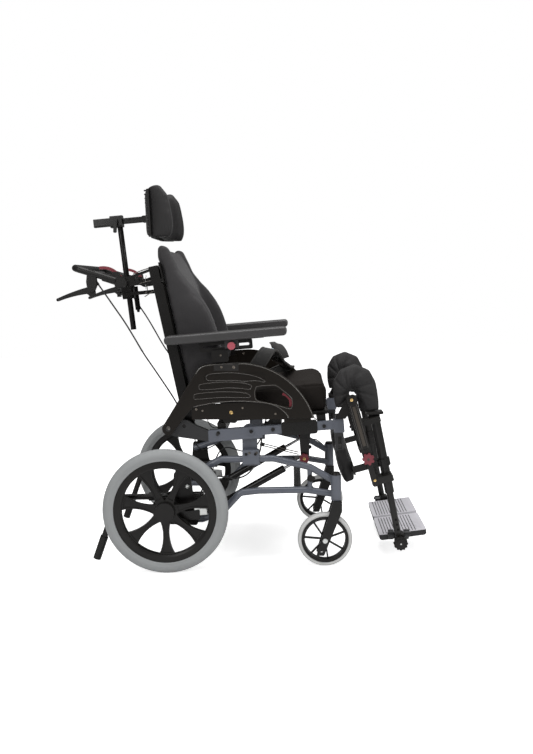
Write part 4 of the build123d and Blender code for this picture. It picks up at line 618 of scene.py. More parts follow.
# Painted shade: dark stripes across the tread stand for the shade in its cross grooves.
groove_shade = foot_math("SINE", foot_math("MULTIPLY", foot_x, 2 * pi / GROOVE_SHADE_PITCH))
groove_shade = foot_math("GREATER_THAN", groove_shade, GROOVE_SHADE_LEVEL)
for place, limits in ((foot_x, GROOVE_SHADE_ALONG), (from_middle, GROOVE_SHADE_ACROSS)):
    for test, limit in zip(("GREATER_THAN", "LESS_THAN"), limits):
        groove_shade = foot_math("MULTIPLY", groove_shade, foot_math(test, place, limit))
tread_colour = foot_shader.inputs["Base Color"].links[0].from_socket
tread_colour = mix(foot_tree, "RGBA", groove_shade, tread_colour, GROOVE_SHADE_COLOUR)
tread_colour = mix(foot_tree, "RGBA", is_black, tread_colour, (*BLACK, 1))
foot_tree.links.new(tread_colour, foot_shader.inputs["Base Color"])
for side_name, side in SIDES:
    dress(nodes[f"footplate_{side_name}"], foot_plastic)

# %% [markdown]
# ## Upholstery
# A wheelchair cushion is foam in a tight stretch cover. The foam pushes the cover out, so that
# faces are slightly domed and edges are round. `stuffed` makes such a cover from the plain foam
# block of the frame: the block is shrunk a little, remeshed to small squares and blown up like a
# balloon by the cloth solver, which gives faces and corners the shape that real tension gives. How
# far any point may move is capped, so it always stays near the block's own surface.

# %% Cloth covers
COVER_GAP = 0.0025  # how far the cloth starts inside the foam's own faces
COVER_PUSH = 4.0  # the pressure inside a cover
COVER_REACH = 0.008  # how far any point of a cover may be pushed


CLOTH_FRAMES = 20


def millimetres(place):
    """A place in the frame's metres as x, y and z in millimetres, as `at` takes them."""
    return (place.x - AXLE_X) * 1000, place.y * 1000, place.z * 1000


def foam_copy(node, name):
    """The foam block of a node as a new closed mesh."""
    form = bmesh.new()
    form.from_mesh(nodes[node].data)
    bmesh.ops.remove_doubles(form, verts=form.verts, dist=0.00005)
    bmesh.ops.recalc_face_normals(form, faces=form.faces)
    return mesh_from(form, name)


def use_modifiers(obj):
    """Turns what the modifiers show into the object's own mesh."""
    bpy.context.view_layer.update()
    shown = obj.evaluated_get(bpy.context.evaluated_depsgraph_get())
    mesh = bpy.data.meshes.new_from_object(shown)
    obj.modifiers.clear()
    old = obj.data
    obj.data = mesh
    bpy.data.meshes.remove(old)


def stuffed(cover, cell, sculpt):
    """Blows a closed foam shape up into a tight cloth cover."""
    remesh = cover.modifiers.new("squares", "REMESH")
    remesh.mode = "VOXEL"
    remesh.voxel_size = cell
    use_modifiers(cover)
    smoothed(cover, 2)
    if sculpt:
        for vertex in cover.data.vertices:
            ahead, rise = sculpt(*millimetres(vertex.co))
            vertex.co += Vector((ahead, 0, rise)) / 1000
    normals = [vertex.normal.copy() for vertex in cover.data.vertices]
    for vertex, normal in zip(cover.data.vertices, normals):
        vertex.co -= normal * COVER_GAP
    start = [vertex.co.copy() for vertex in cover.data.vertices]
    cloth = cover.modifiers.new("cover", "CLOTH")
    settings = cloth.settings
    settings.use_pressure = True
    settings.uniform_pressure_force = COVER_PUSH
    settings.effector_weights.gravity = 0
    settings.tension_stiffness = 15
    settings.compression_stiffness = 15
    settings.bending_stiffness = 0.5
    cloth.point_cache.frame_start = 1
    cloth.point_cache.frame_end = CLOTH_FRAMES
    for frame_number in range(1, CLOTH_FRAMES + 1):
        scene.frame_set(frame_number)
    use_modifiers(cover)
    scene.frame_set(1)
    for vertex, before in zip(cover.data.vertices, start):
        moved = vertex.co - before
        if moved.length > COVER_REACH:
            vertex.co = before + moved.normalized() * COVER_REACH
    return cover


def smoothed(obj, rounds):
    """Evens out an object's mesh a few times."""
    form = bmesh.new()
    form.from_mesh(obj.data)
    for _ in range(rounds):
        bmesh.ops.smooth_vert(
            form, verts=form.verts, factor=0.5, use_axis_x=True, use_axis_y=True, use_axis_z=True
        )
    form.to_mesh(obj.data)
    form.free()


def finer(obj):
    """Divides a cover's squares so that seams can be pressed into it."""
    fine = obj.modifiers.new("finer", "SUBSURF")
    fine.levels = 1
    fine.render_levels = 1
    use_modifiers(obj)
    for face in obj.data.polygons:
        face.use_smooth = True


# %% [markdown]
# A seam is where two panels of cloth are sewn together, so the cover dips there and is full on both
# sides of it. `pressed` moves each point of a cover in along its normal by what a function says.
# The function works in millimetres ahead of the axle, to the left and up, as everything here does.

# %% Seams


def pressed(obj, depth_at):
    """Moves every point of a cover inward, by millimetres from a function of its place."""
    normals = [vertex.normal.copy() for vertex in obj.data.vertices]
    for vertex, normal in zip(obj.data.vertices, normals):
        depth = depth_at(*millimetres(vertex.co), normal)
        vertex.co -= normal * depth / 1000


BELL = 2.718  # the base of the bell curve that a seam's section follows


def groove(distance, depth, width):
    """Depth of a seam at a distance from its line, in millimetres."""
    return depth * BELL ** (-((distance / width) ** 2))


def between(value, low, high):
    """How far a value is from low to high, kept from 0 to 1 and eased at both ends."""
    part = min(1.0, max(0.0, (value - low) / (high - low)))
    return part * part * (3 - 2 * part)


# The pivot that each line passes through, in x and z, and the line's slope.
SEAT_LINE = ((280.0, 445.0), radians(3.35))
BACK_LINE = ((64.0, 469.0), radians(10.4))


def from_line(x, z, pivot, slope):
    """Ahead along a sloping line from its pivot, and up from the line, in millimetres."""
    ahead, above = x - pivot[0], z - pivot[1]
    return ahead * cos(slope) + above * sin(slope), above * cos(slope) - ahead * sin(slope)


def seat_seams(x, y, z, normal):
    """The seat cover's top panel is sewn to its border, which has a seam at each corner."""
    along, above = from_line(x, z, *SEAT_LINE)
    around = groove(above - 128.0, 1.6, 3.0) * (1 - between(normal.z, 0.6, 0.9))
    corner = groove(along - 246.0, 1.0, 2.5) * between(abs(y), 200.0, 207.0)
    hollow = groove(y, 3.0, 90.0) * between(200.0 - along, 0.0, 150.0)
    return around + corner + hollow * between(normal.z, 0.7, 0.95)


def back_seams(x, y, z, normal):
    """The back cover has a seam along each wing's edge and one where wing and middle meet."""
    out, high = from_line(x, z, *BACK_LINE)
    edge = groove(abs(y) - 206.0, 1.2, 2.6) * between(out, 50.0, 62.0)
    edge *= between(normal.x, -0.2, 0.3)
    fold = groove(abs(y) - 158.0, 3.0, 6.0) * between(high, 130.0, 170.0)
    band = groove(high - 330.0, 1.0, 3.0) * between(normal.x, 0.3, 0.6)
    return edge + fold + band * (1 - between(abs(y), 130.0, 150.0))


def head_seams(x, y, z, normal):
    """The headrest cover has a seam round each wing's edge, and a fold beside its middle."""
    edge = groove(abs(y) - 128.0, 1.3, 2.4) * between(x, -20.0, 0.0)
    return edge + groove(abs(y) - 60.0, 1.0, 5.0) * between(normal.x, 0.5, 0.9)


# %% [markdown]
# ## Shapes of their own
# The headrest and the knee pads are moulded foam, so the frame's plain blocks only stand for them.
# The headrest is a slab bent like a shallow bowl, whose wings reach forward beside the head. A
# knee pad is a thick roll bent like a horseshoe round the knee's bolt. Both are swept: a section
# follows a line, and the cover is blown up from that.

# %% Swept foam
HEAD_LOW, HEAD_HIGH = 1079.0, 1254.0
HEAD_FRONT = ((1079, 35), (1100, 42), (1134, 46), (1188, 46), (1225, 40), (1254, 32))


def along_table(table, value):
    """The second number of a table at a value of the first, read between its rows."""
    for (a, first), (b, second) in zip(table, table[1:]):
        if value <= b:
            return first + (second - first) * max(0.0, (value - a) / (b - a))
    return table[-1][1]


def sheet_of_quads(form, rows):
    """Joins rows of points into a sheet of squares."""
    for one, two in zip(rows, rows[1:]):
        for a, b, c, d in zip(one, one[1:], two[1:], two):
            form.faces.new((a, b, c, d))


def round_steps(count, power):
    """Places round a closed section of size one: an ellipse at power 2, a box at high powers."""
    for step in range(count):
        turn = 2 * pi * step / count
        c, s = cos(turn), sin(turn)
        full = (abs(c) ** power + abs(s) ** power) ** (-1 / power)
        yield c * full, s * full


def shut_tube(form, rows, name):
    """Joins closed rows of points into a tube with shut ends, and makes it an object."""
    sheet_of_quads(form, rows)
    for end in (rows[0], rows[-1]):
        form.faces.new(end[:-1])
    bmesh.ops.recalc_face_normals(form, faces=form.faces)
    return mesh_from(form, name)


HEAD_BACK, HEAD_HALF_WIDTH, HEAD_HALF_THICK = -40.0, 139.0, 17.0
HEAD_LEVELS, HEAD_STEPS = 12, 16
HEAD_BEND = 2 / 4.6  # how square the line is: it would be 1 for a circle
HEAD_TOP = 2  # where the slab is highest, in millimetres ahead of the axle


def headrest_foam(name):
    """A bent slab: its line runs from one wing's front round the head to the other's."""
    form = bmesh.new()
    outer, inner = [], []
    for level in range(HEAD_LEVELS + 1):
        share = level / HEAD_LEVELS
        front = along_table(HEAD_FRONT, HEAD_LOW + share * (HEAD_HIGH - HEAD_LOW)) - 3
        outer.append([])
        inner.append([])
        for step in range(-HEAD_STEPS, HEAD_STEPS + 1):
            sign = 1 if step > 0 else -1
            turn = radians(90) * abs(step) / HEAD_STEPS
            next_turn = min(radians(90) * (abs(step) + 0.4) / HEAD_STEPS, radians(90))
            y = HEAD_HALF_WIDTH * sin(turn) ** HEAD_BEND
            x = HEAD_BACK + (front - HEAD_BACK) * (1 - cos(turn) ** HEAD_BEND)
            most, run = (11, 38) if x < HEAD_TOP else (20, 20)
            drop = most * ((x - HEAD_TOP) / run) ** 2
            z = HEAD_LOW + share * (HEAD_HIGH - drop - HEAD_LOW)
            ahead = (front - HEAD_BACK) * (cos(turn) ** HEAD_BEND - cos(next_turn) ** HEAD_BEND)
            sideways = HEAD_HALF_WIDTH * (sin(next_turn) ** HEAD_BEND - sin(turn) ** HEAD_BEND)
            length = sqrt(ahead**2 + sideways**2) or 1.0
            out_x, out_y = -sideways / length, ahead / length
            if abs(step) == HEAD_STEPS:
                out_x, out_y = 0.0, 1.0
            for rows, thick in ((outer, HEAD_HALF_THICK), (inner, -HEAD_HALF_THICK)):
                place = at(x + out_x * thick, sign * (y + out_y * thick), z)
                rows[-1].append(form.verts.new(place))
    for rows in (outer, inner):
        sheet_of_quads(form, rows)
    for edge in (0, -1):
        sheet_of_quads(form, [outer[edge], inner[edge]])
        sheet_of_quads(form, [[row[edge] for row in outer], [row[edge] for row in inner]])
    bmesh.ops.recalc_face_normals(form, faces=form.faces)
    return mesh_from(form, name)


KNEE_LINE = (
    (567, 518, 23), (565, 542, 26), (567, 566, 30), (576, 592, 37), (592, 612, 41),
    (614, 619, 43), (636, 609, 44), (649, 586, 43), (657, 560, 41), (665, 530, 38),
    (671, 503, 34),
)


KNEE_OUT, KNEE_HALF_WIDTH = 239.5, 20.5


def knee_foam(name, side):
    """A roll along the horseshoe line. Each row of the line is x, z and the roll's radius."""
    form = bmesh.new()
    rows = []
    for index, (x, z, radius) in enumerate(KNEE_LINE):
        before = KNEE_LINE[max(0, index - 1)]
        after = KNEE_LINE[min(len(KNEE_LINE) - 1, index + 1)]
        run = Vector((after[0] - before[0], 0, after[1] - before[1])).normalized()
        across = Vector((-run.z, 0, run.x))
        row = []
        for c, s in round_steps(16, 2.6):
            place = at(x, side * KNEE_OUT, z) + across * radius * c / 1000
            place.y += KNEE_HALF_WIDTH * s / 1000
            row.append(form.verts.new(place))
        rows.append(row + row[:1])
    return shut_tube(form, rows, name)


# %% [markdown]
# A knee pad is gathered where it bolts on, so creases fan out from the bolt. They are waves round
# the bolt that die away with distance.

# %% Knee pad creases
KNEE_BOLT = (602.0, 570.0)


def knee_creases(x, y, z, normal):
    """Creases that fan out from the bolt, and a seam where the two faces meet."""
    ahead, above = x - KNEE_BOLT[0], z - KNEE_BOLT[1]
    away = sqrt(ahead**2 + above**2)
    turn = atan2(above, ahead)
    fan = (0.5 + 0.5 * cos(9.0 * turn + 0.8 * sin(3.0 * turn) + away / 30.0)) ** 4
    fade = between(away, 10.0, 26.0) * (1 - between(away, 52.0, 92.0))
    seam = groove(abs(y) - KNEE_OUT, 1.2, 2.4) * between(away, 60.0, 70.0)
    return 3.4 * fan * fade * between(abs(normal.y), 0.2, 0.7) + seam


def back_shape(x, y, z):
    """Each wing of the back cushion ends in a full rounded horn at its top."""
    out, high = from_line(x, z, *BACK_LINE)
    wing = between(abs(y), 150.0, 170.0)
    near_top = between(z, 930.0, 1010.0)
    ahead = wing * near_top * between(out, 45.0, 62.0) * 9.0
    ahead += wing * between(z, 780.0, 900.0) * (1 - near_top) * between(out, 60.0, 90.0) * 7.0
    return ahead, wing * between(z, 1015.0, 1045.0) * 9.0


def calf_seams(x, y, z, normal):
    """The calf pad has one seam round its border."""
    return groove(abs(abs(y) - 152.0) - 62.0, 1.1, 2.6)


# %% Cloth finishes
woven = partial(finish, pattern=weave)
seat_cloth = woven(
    "seat_cloth", (0.0075, 0.0055, 0.0044), (0.0155, 0.0125, 0.0105), 0.75, 0.3,
    scale=750, shine=0.15,
)
back_cloth = woven(
    "back_cloth", (0.014, 0.013, 0.0138), (0.029, 0.027, 0.0285), 0.75, 0.3,
    scale=750, sheen=0.14,
)
pad_cloth = woven(
    "pad_cloth", (0.0065, 0.006, 0.0061), (0.0145, 0.0134, 0.0137), 0.7, 0.25,
    scale=900, sheen=0.08,
)
print("cloths ready")

# %% Cushions
COVERS = (
    ("seat_cushion", "seat", seat_cloth, 0.8, 0.007, seat_seams, None),
    ("back_cushion", "backrest", back_cloth, 0.7, 0.008, back_seams, back_shape),
    ("headrest_pad", "headrest", pad_cloth, 0.7, 0.006, head_seams, None),
    ("calf_pad_right", "calf_right", pad_cloth, 0.8, 0.006, calf_seams, None),
    ("calf_pad_left", "calf_left", pad_cloth, 0.8, 0.006, calf_seams, None),
    ("knee_pad_right", "leg_right", pad_cloth, 0.7, 0.005, knee_creases, None),
    ("knee_pad_left", "leg_left", pad_cloth, 0.7, 0.005, knee_creases, None),
)
for node, body, cloth, fill, cell, seams, sculpt in COVERS:
    if node == "headrest_pad":
        foam = headrest_foam(f"{node}_cover")
    elif node.startswith("knee_pad"):
        foam = knee_foam(f"{node}_cover", -1 if node.endswith("right") else 1)
    else:
        foam = foam_copy(node, f"{node}_cover")
    cover = stuffed(foam, cell, sculpt)
    smoothed(cover, 2)
    finer(cover)
    pressed(cover, seams)
    dress(cover, cloth)
    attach(cover, body)
    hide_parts(node)
    print(node, len(cover.data.polygons), "faces", [round(size, 3) for size in cover.dimensions])

# %% [markdown]
# ## Tyres
# The rear tyre is solid grey rubber on a black rim. Its section is round on the road side and ends
# in a thin lip that lies over the rim. A tyre is turned on a lathe or moulded in a ring, so here it
# is a profile spun round the axle. Small notches in the shoulders are the tread.

# %% Spun rings


def ring(name, profile, centre, steps, notch_every=0, notch=0.0, notch_from=1e9):
    """Spins a closed profile of (radius, sideways) points round a crosswise axle."""
    form = bmesh.new()
    points = [form.verts.new(centre + Vector((0, out / 1000, far / 1000))) for far, out in profile]
    edges = [form.edges.new((a, b)) for a, b in zip(points, points[1:] + points[:1])]
    bmesh.ops.spin(
        form,
        geom=points + edges,
        cent=centre,
        axis=(0, 1, 0),
        angle=2 * pi,
        steps=steps,
        use_merge=True,
        use_duplicate=False,
    )
    bmesh.ops.remove_doubles(form, verts=form.verts, dist=0.00002)
    bmesh.ops.recalc_face_normals(form, faces=form.faces)
    if notch_every:
        middle = sum(far for far, _ in profile) / len(profile)
        for vertex in form.verts:
            arm = vertex.co - centre
            step = round(atan2(arm.z, arm.x) / (2 * pi) * steps)
            flat = Vector((arm.x, 0, arm.z))
            on_shoulder = abs(arm.y) * 1000 > notch_from and flat.length * 1000 > middle
            if on_shoulder and step % notch_every == 0:
                vertex.co -= flat.normalized() * notch / 1000
    return mesh_from(form, name)


def round_section(middle, half_depth, half_width, count, power=2.3):
    """A rounded closed section about a middle radius, fuller than an ellipse."""
    return [(middle + half_depth * c, half_width * s) for c, s in round_steps(count, power)]


# %% Rear tyres
BEAD = 166.0  # where the lip ends on the rim
TYRE_HALF = (
    (BEAD + 3, 6.0), (BEAD, 14.2), (BEAD + 0.4, 16.6), (BEAD + 3.5, 17.2), (BEAD + 8, 17.0),
    (176, 18.3), (182, 19.0), (188, 18.4), (193, 16.4), (196.6, 13.6), (199.6, 10.6), (200.6, 9.0),
    (202.2, 5.0), (202.8, 2.2), (201.6, 1.4),
)
TYRE_PROFILE = [(far, -out) for far, out in TYRE_HALF] + list(reversed(TYRE_HALF))
REAR_STEPS, NOTCH_EVERY, NOTCH_DEPTH, NOTCH_FROM = 180, 3, 1.1, 8.5
CASTOR_STEPS, CASTOR_HALF_DEPTH = 96, 7.6


def tyre(made, material, body, node):
    """Gives a finished ring its rubber and its wheel, in place of a plain tyre."""
    dress(made, material)
    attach(made, body)
    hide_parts(node)


for side_name, side in SIDES:
    low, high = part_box(f"tyre_{side_name}")
    notches = (NOTCH_EVERY, NOTCH_DEPTH, NOTCH_FROM)
    made = ring(f"rear_tyre_{side_name}", TYRE_PROFILE, (low + high) / 2, REAR_STEPS, *notches)
    tyre(made, tyre_rubber, f"wheel_{side_name}", f"tyre_{side_name}")
    low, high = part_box(f"castor_tyre_{side_name}")
    outer = (high[2] - low[2]) * 500
    half = (high[1] - low[1]) * 500
    section = round_section(outer - CASTOR_HALF_DEPTH, CASTOR_HALF_DEPTH, half, 20)
    made = ring(f"front_tyre_{side_name}", section, (low + high) / 2, CASTOR_STEPS)
    tyre(made, castor_rubber, f"castor_wheel_{side_name}", f"castor_tyre_{side_name}")
    print("tyres", side_name, round(outer, 1), round(half, 1))

# %% [markdown]
# ## Fittings
# Screws, caps and plugs sit on the surface of a larger piece. `touch` looks for that surface: it
# sends a line in from the chair's side and gives the place where it meets a node, so a fitting
# follows its piece whatever the piece's thickness is.

# %% Fittings that sit on a surface


def touch(node, x, z, side, start=OUT, inward=True):
    """Where a crosswise line at x ahead and z up meets a node."""
    toward = Vector((0, -side if inward else side, 0))
    hit, place, _, _ = nodes[node].ray_cast(at(x, side * start, z), toward)
    if not hit:
        raise ValueError(f"no surface of {node} at {x}, {z}")
    return place


SHARP = 0.9  # an edge that turns by more than this, in radians, is a head's rim
RIM_SHARE = 0.18  # of a head's height is rounded
SOCKET_DEPTH = 0.55  # of a head's height


def add_disc(form, place, along, radius, height, sides=24, socket=0.0):
    """Adds a round or many-sided head to a form, with rounded rim and a socket in its middle."""
    turn = along.to_track_quat("Z", "Y").to_matrix().to_4x4()
    made = bmesh.ops.create_cone(
        form,
        cap_ends=True,
        segments=sides,
        radius1=radius / 1000,
        radius2=radius / 1000,
        depth=height / 1000,
        matrix=Matrix.Translation(place + along * (height / 2000)) @ turn,
    )
    verts = made["verts"]
    faces = {face for vertex in verts for face in vertex.link_faces}
    top = max(faces, key=lambda face: face.calc_center_median().dot(along))
    if socket:
        bmesh.ops.inset_individual(form, faces=[top], thickness=radius * (1 - socket) / 1000)
        for vertex in top.verts:
            vertex.co -= along * height * SOCKET_DEPTH / 1000
    faces = {face for vertex in verts for face in vertex.link_faces}
    edges = {edge for face in faces for edge in face.edges if edge.is_manifold}
    rim = [edge for edge in edges if edge.calc_face_angle(0) > SHARP]
    bmesh.ops.bevel(
        form,
        geom=rim,
        offset=min(radius, height) * RIM_SHARE / 1000,
        segments=2,
        profile=0.5,
        affect="EDGES",
        material=-1,
    )


def fittings(name, node, material, sides, socket, places):
    """One object per side with a head at each (x, z, radius, height) on a node of that side."""
    for side_name, side in SIDES:
        on = node if node in nodes else f"{node}_{side_name}"
        form = bmesh.new()
        for x, z, radius, height in places:
            place = touch(on, x, z, side)
            add_disc(form, place, Vector((0, side, 0)), radius, height, sides, socket)
        made = mesh_from(form, f"{name}_{side_name}", smooth=False)
        made.data.materials.append(material)
        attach(made, nodes[on]["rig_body"])


zinc = finish("zinc", (0.5, 0.51, 0.5), (0.68, 0.69, 0.68), 0.3, 0.01, metal=0.9)
brass = finish("brass", (0.5, 0.33, 0.12), (0.66, 0.46, 0.2), 0.34, 0.01, metal=0.9)
dark_steel = finish("dark_steel", (0.06, 0.055, 0.05), (0.12, 0.11, 0.1), 0.35, 0.01, metal=0.8)
rose_plastic = finish("rose_plastic", (0.36, 0.07, 0.09), (0.46, 0.1, 0.13), 0.4, 0.02)
maroon_plastic = finish("maroon_plastic", (0.12, 0.02, 0.028), (0.18, 0.035, 0.045), 0.42, 0.02)

# %% [markdown]
# The castor's axle bolt is zinc plated and those of the seat's rail are black. A plug closes the
# end of the cross tube, and a rose red knob sits under each armpad.

# %% Bolts of the frame
# Each row is a fitting's name, the node that it sits on, its material, how many sides it has, the
# share of its face that its socket takes, and its heads as x, z, radius and height.
RAIL_SCREWS = ((173.9, 444.4), (280.7, 448.3), (351.2, 453.6), (515.4, 460.2))
BOLTS = (
    ("castor_bolt", "castor_fork", zinc, 6, 0, [(511, 88.9, 7.4, 2.2)]),
    ("saddle_screws", "side_frames", dark_steel, 24, 0.5, [(x, 378, 4.6, 2) for x in (272.8, 296)]),
    ("frame_plug", "frame_fittings", black_nylon, 24, 0, [(471.3, 290.3, 8.5, 2.0)]),
    ("rail_screws", "seat_rails", black_nylon, 24, 0.5, [(*p, 6.0, 2.4) for p in RAIL_SCREWS]),
    ("leg_screws", "leg_tube", brass, 24, 0.5, [(672.4, 287.3, 4.4, 2.0)]),
    ("leg_knob_screw", "leg_tube", dark_steel, 24, 0.5, [(651.8, 358.2, 4.2, 1.0)]),
    ("knee_bolt", "hanger", brass, 24, 0.5, [(602, 548, 5.0, 2.0)]),
    ("pivot_screw", "seat_rails", dark_steel, 24, 0.5, [(16.3, 467.9, 6.0, 1.6)]),
    ("arm_knob", "arm_pad", rose_plastic, 24, 0, [(227.2, 727.2, 12.4, 2.5)]),
    ("panel_disc", "side_panel", brass, 24, 0.7, [(218.8, 512.1, 5.6, 1.2)]),
)
for row in BOLTS:
    fittings(*row)

# %% [markdown]
# ## Side panels
# The armrest's panel is one large glossy moulding. Its stiffness comes from a rim along the arch
# and from three long shallow dishes, and both catch the light as thin bright lines. The lines are
# raised beads here, laid on the panel's outer face along smooth curves, and their lighter glossy
# finish is a painted highlight.

# %% Beads and thin plates


def smooth_line(points, closed=False, steps=6):
    """A smooth curve through points given as tuples of any length."""
    count = len(points)
    line = []
    for index in range(count if closed else count - 1):
        picks = [index - 1, index, index + 1, index + 2]
        picks = [p % count if closed else min(max(p, 0), count - 1) for p in picks]
        a, b, c, d = (Vector(points[p]) for p in picks)
        for step in range(steps):
            t = step / steps
            bent, twisted = 2 * a - 5 * b + 4 * c - d, 3 * b - 3 * c + d - a
            line.append(0.5 * (2 * b + (c - a) * t + bent * t**2 + twisted * t**3))
    if not closed:
        line.append(Vector(points[-1]))
    return line


def arc(a, b, c, steps=24):
    """Points on the circle through three points, from the first to the last."""
    a, b, c = Vector(a), Vector(b), Vector(c)
    d = 2 * (a.x * (b.y - c.y) + b.x * (c.y - a.y) + c.x * (a.y - b.y))
    sq = [p.length_squared for p in (a, b, c)]
    centre = Vector(
        (
            (sq[0] * (b.y - c.y) + sq[1] * (c.y - a.y) + sq[2] * (a.y - b.y)) / d,
            (sq[0] * (c.x - b.x) + sq[1] * (a.x - c.x) + sq[2] * (b.x - a.x)) / d,
        )
    )
    start = atan2(a.y - centre.y, a.x - centre.x)
    sweep = (atan2(c.y - centre.y, c.x - centre.x) - start + pi) % (2 * pi) - pi
    radius = (a - centre).length
    turns = [start + sweep * step / steps for step in range(steps + 1)]
    return [(centre.x + radius * cos(turn), centre.y + radius * sin(turn)) for turn in turns]


BEAD_SHARES = (-0.5, -0.28, 0.28, 0.5)  # of its width, where a bead's section turns
BEAD_SINK = 0.4  # how deep its edges lie in the face


def bead(form, line, out, side, width, height, closed=False):
    """Adds a raised ridge along a line of (x, z) points on a side face, at a distance out."""
    rows = []
    count = len(line)
    for index in range(count):
        before = line[index - 1] if closed or index else line[index]
        after = line[(index + 1) % count] if closed or index < count - 1 else line[index]
        run = Vector((after[0] - before[0], after[1] - before[1])).normalized()
        row = []
        for share, rise in zip(BEAD_SHARES, (-BEAD_SINK, height, height, -BEAD_SINK)):
            x = line[index][0] - run.y * width * share
            z = line[index][1] + run.x * width * share
            row.append(form.verts.new(at(x, side * (out + rise), z)))
        rows.append(row + row[:1])
    if closed:
        rows.append(rows[0])
    else:
        form.faces.new(rows[0][:4])
        form.faces.new(rows[-1][:4])
    sheet_of_quads(form, rows)


def side_plate(form, outline, low, high, side, round_by=0.6):
    """Adds a plate between two distances out, with its outer edges rounded."""
    verts = [form.verts.new(at(x, side * high, z)) for x, z in outline]
    face = form.faces.new(verts)
    made = bmesh.ops.extrude_face_region(form, geom=[face])
    for item in made["geom"]:
        if isinstance(item, bmesh.types.BMVert):
            item.co.y = side * low / 1000
    if round_by:
        rim = {edge for edge in form.edges if all(vertex in verts for vertex in edge.verts)}
        bmesh.ops.bevel(
            form,
            geom=list(rim),
            offset=round_by / 1000,
            segments=2,
            profile=0.5,
            affect="EDGES",
            material=-1,
        )


def finished(form, name, material, body, smooth=False):
    """Turns a form into an object with its material and body."""
    bmesh.ops.recalc_face_normals(form, faces=form.faces)
    made = mesh_from(form, name, smooth=smooth)
    made.data.materials.append(material)
    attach(made, body)
    return made


# %% Panel beads
PANEL_OUT = 267.0
PLATE_OUT = PANEL_OUT + 1.2
DISHES = (
    (
        (143, 627), (148, 636), (172, 640), (225, 641), (273, 635), (305, 626), (328, 614),
        (326, 609), (301, 614), (264, 613), (224, 617), (171, 617), (148, 619),
    ),
    (
        (119, 597), (125, 606), (167, 611), (212, 612), (256, 608), (283, 601), (286, 594),
        (279, 587), (247, 591), (207, 593), (166, 590), (126, 589),
    ),
    (
        (102, 566), (107, 575), (141, 579), (190, 581), (247, 578), (277, 571), (279, 561),
        (246, 561), (189, 563), (140, 560), (105, 559),
    ),
)
HAND_HOLE = (
    (296, 572), (299, 588), (308, 596), (340, 598), (364, 597), (384, 583),
    (411, 558), (416, 540), (413, 525), (403, 522), (350, 538), (304, 549),
)
ARCH_FOOT = ((110, 640), (124, 657), (148, 666.5), (200, 669))
ARCH = ((252, 670), (398, 614.5), (481, 491))
LOWER_EDGE = ((99, 534), (220, 549.5), (336, 541)), ((338, 540), (377, 522.5), (403, 492))
SCREW_PLATE = ((168, 649), (247, 647), (248, 670.5), (169, 668))
PANEL_BOLTS = ((107, 525, 4.2), (127, 520, 3.4), (256, 527, 3.4), (361, 505, 3.4))
PLATE_BOLTS = ((193, 660, 3.8), (232, 659, 4.6))  # these go through to the panel's inner face
# Painted highlight: this lighter glossy finish stands for light caught along rims, dishes and
# edges.
painted_edge_highlight = finish(
    "painted_edge_highlight", (0.05, 0.045, 0.04), (0.075, 0.068, 0.06), 0.24, 0.01, coat=0.5, shine=0.6
)
panel_plate_skin = finish(
    "panel_plate_skin", (0.008, 0.007, 0.0065), (0.014, 0.0125, 0.0115), 0.42, 0.02
)
screw_shine = finish("screw_shine", (0.1, 0.085, 0.07), (0.2, 0.175, 0.15), 0.35, 0.01, metal=0.8)
for side_name, side in SIDES:
    body = f"armrest_{side_name}"
    form = bmesh.new()
    for dish in DISHES:
        bead(form, smooth_line(dish, closed=True), PANEL_OUT, side, 2.0, 0.6, closed=True)
    arch = smooth_line(ARCH_FOOT, steps=5) + arc(*ARCH)[1:]
    bead(form, arch, PANEL_OUT, side, 3.4, 0.8)
    finished(form, f"panel_highlight_beads_{side_name}", painted_edge_highlight, body, smooth=True)
    form = bmesh.new()
    bead(form, arc(*LOWER_EDGE[0]) + arc(*LOWER_EDGE[1])[1:], PANEL_OUT - 0.3, side, 3.0, 0.8)
    hand_hole = smooth_line(HAND_HOLE, closed=True, steps=4)
    bead(form, hand_hole, PANEL_OUT, side, 2.2, 0.6, closed=True)
    finished(form, f"panel_highlight_rims_{side_name}", painted_edge_highlight, body, smooth=True)
    form = bmesh.new()
    side_plate(form, SCREW_PLATE, PANEL_OUT - 1, PLATE_OUT, side)
    finished(form, f"screw_plate_{side_name}", panel_plate_skin, body)
    form = bmesh.new()
    panel = f"side_panel_{side_name}"
    outward = Vector((0, side, 0))
    for x, z, radius in PANEL_BOLTS:
        add_disc(form, touch(panel, x, z, side), outward, radius, 1.8, 16, 0.5)
    for x, z, radius in PLATE_BOLTS:
        add_disc(form, at(x, side * PLATE_OUT, z), outward, radius, 1.4, 20, 0.55)
        inner = touch(panel, x, z, side, start=180, inward=False)
        add_disc(form, inner, -outward, radius, 1.6, 20, 0.5)
    finished(form, f"panel_bolts_{side_name}", screw_shine, body)
print("panel details", body)

# %% [markdown]
# Inside the hand hole is the red lever that lets the armrest swing up. Only its curved edge shows,
# so it is a crescent plate just behind the panel.

# %% Armrest release lever
for side_name, side in SIDES:
    form = bmesh.new()
    outer = arc((386, 573), (413, 553), (411, 524), 10)
    inner = arc((404, 527), (403, 550), (383, 565), 10)
    side_plate(form, outer + inner, 256.5, 260.5, side, 0.8)
    finished(form, f"arm_release_{side_name}", red_plastic, f"armrest_{side_name}")

# %% [markdown]
# ## Armrest posts
# The pad slides on a carrier with a slotted bar. A small screw holds the bar to the post, and a
# three-lobed bracket behind the panel takes the post's lower end.

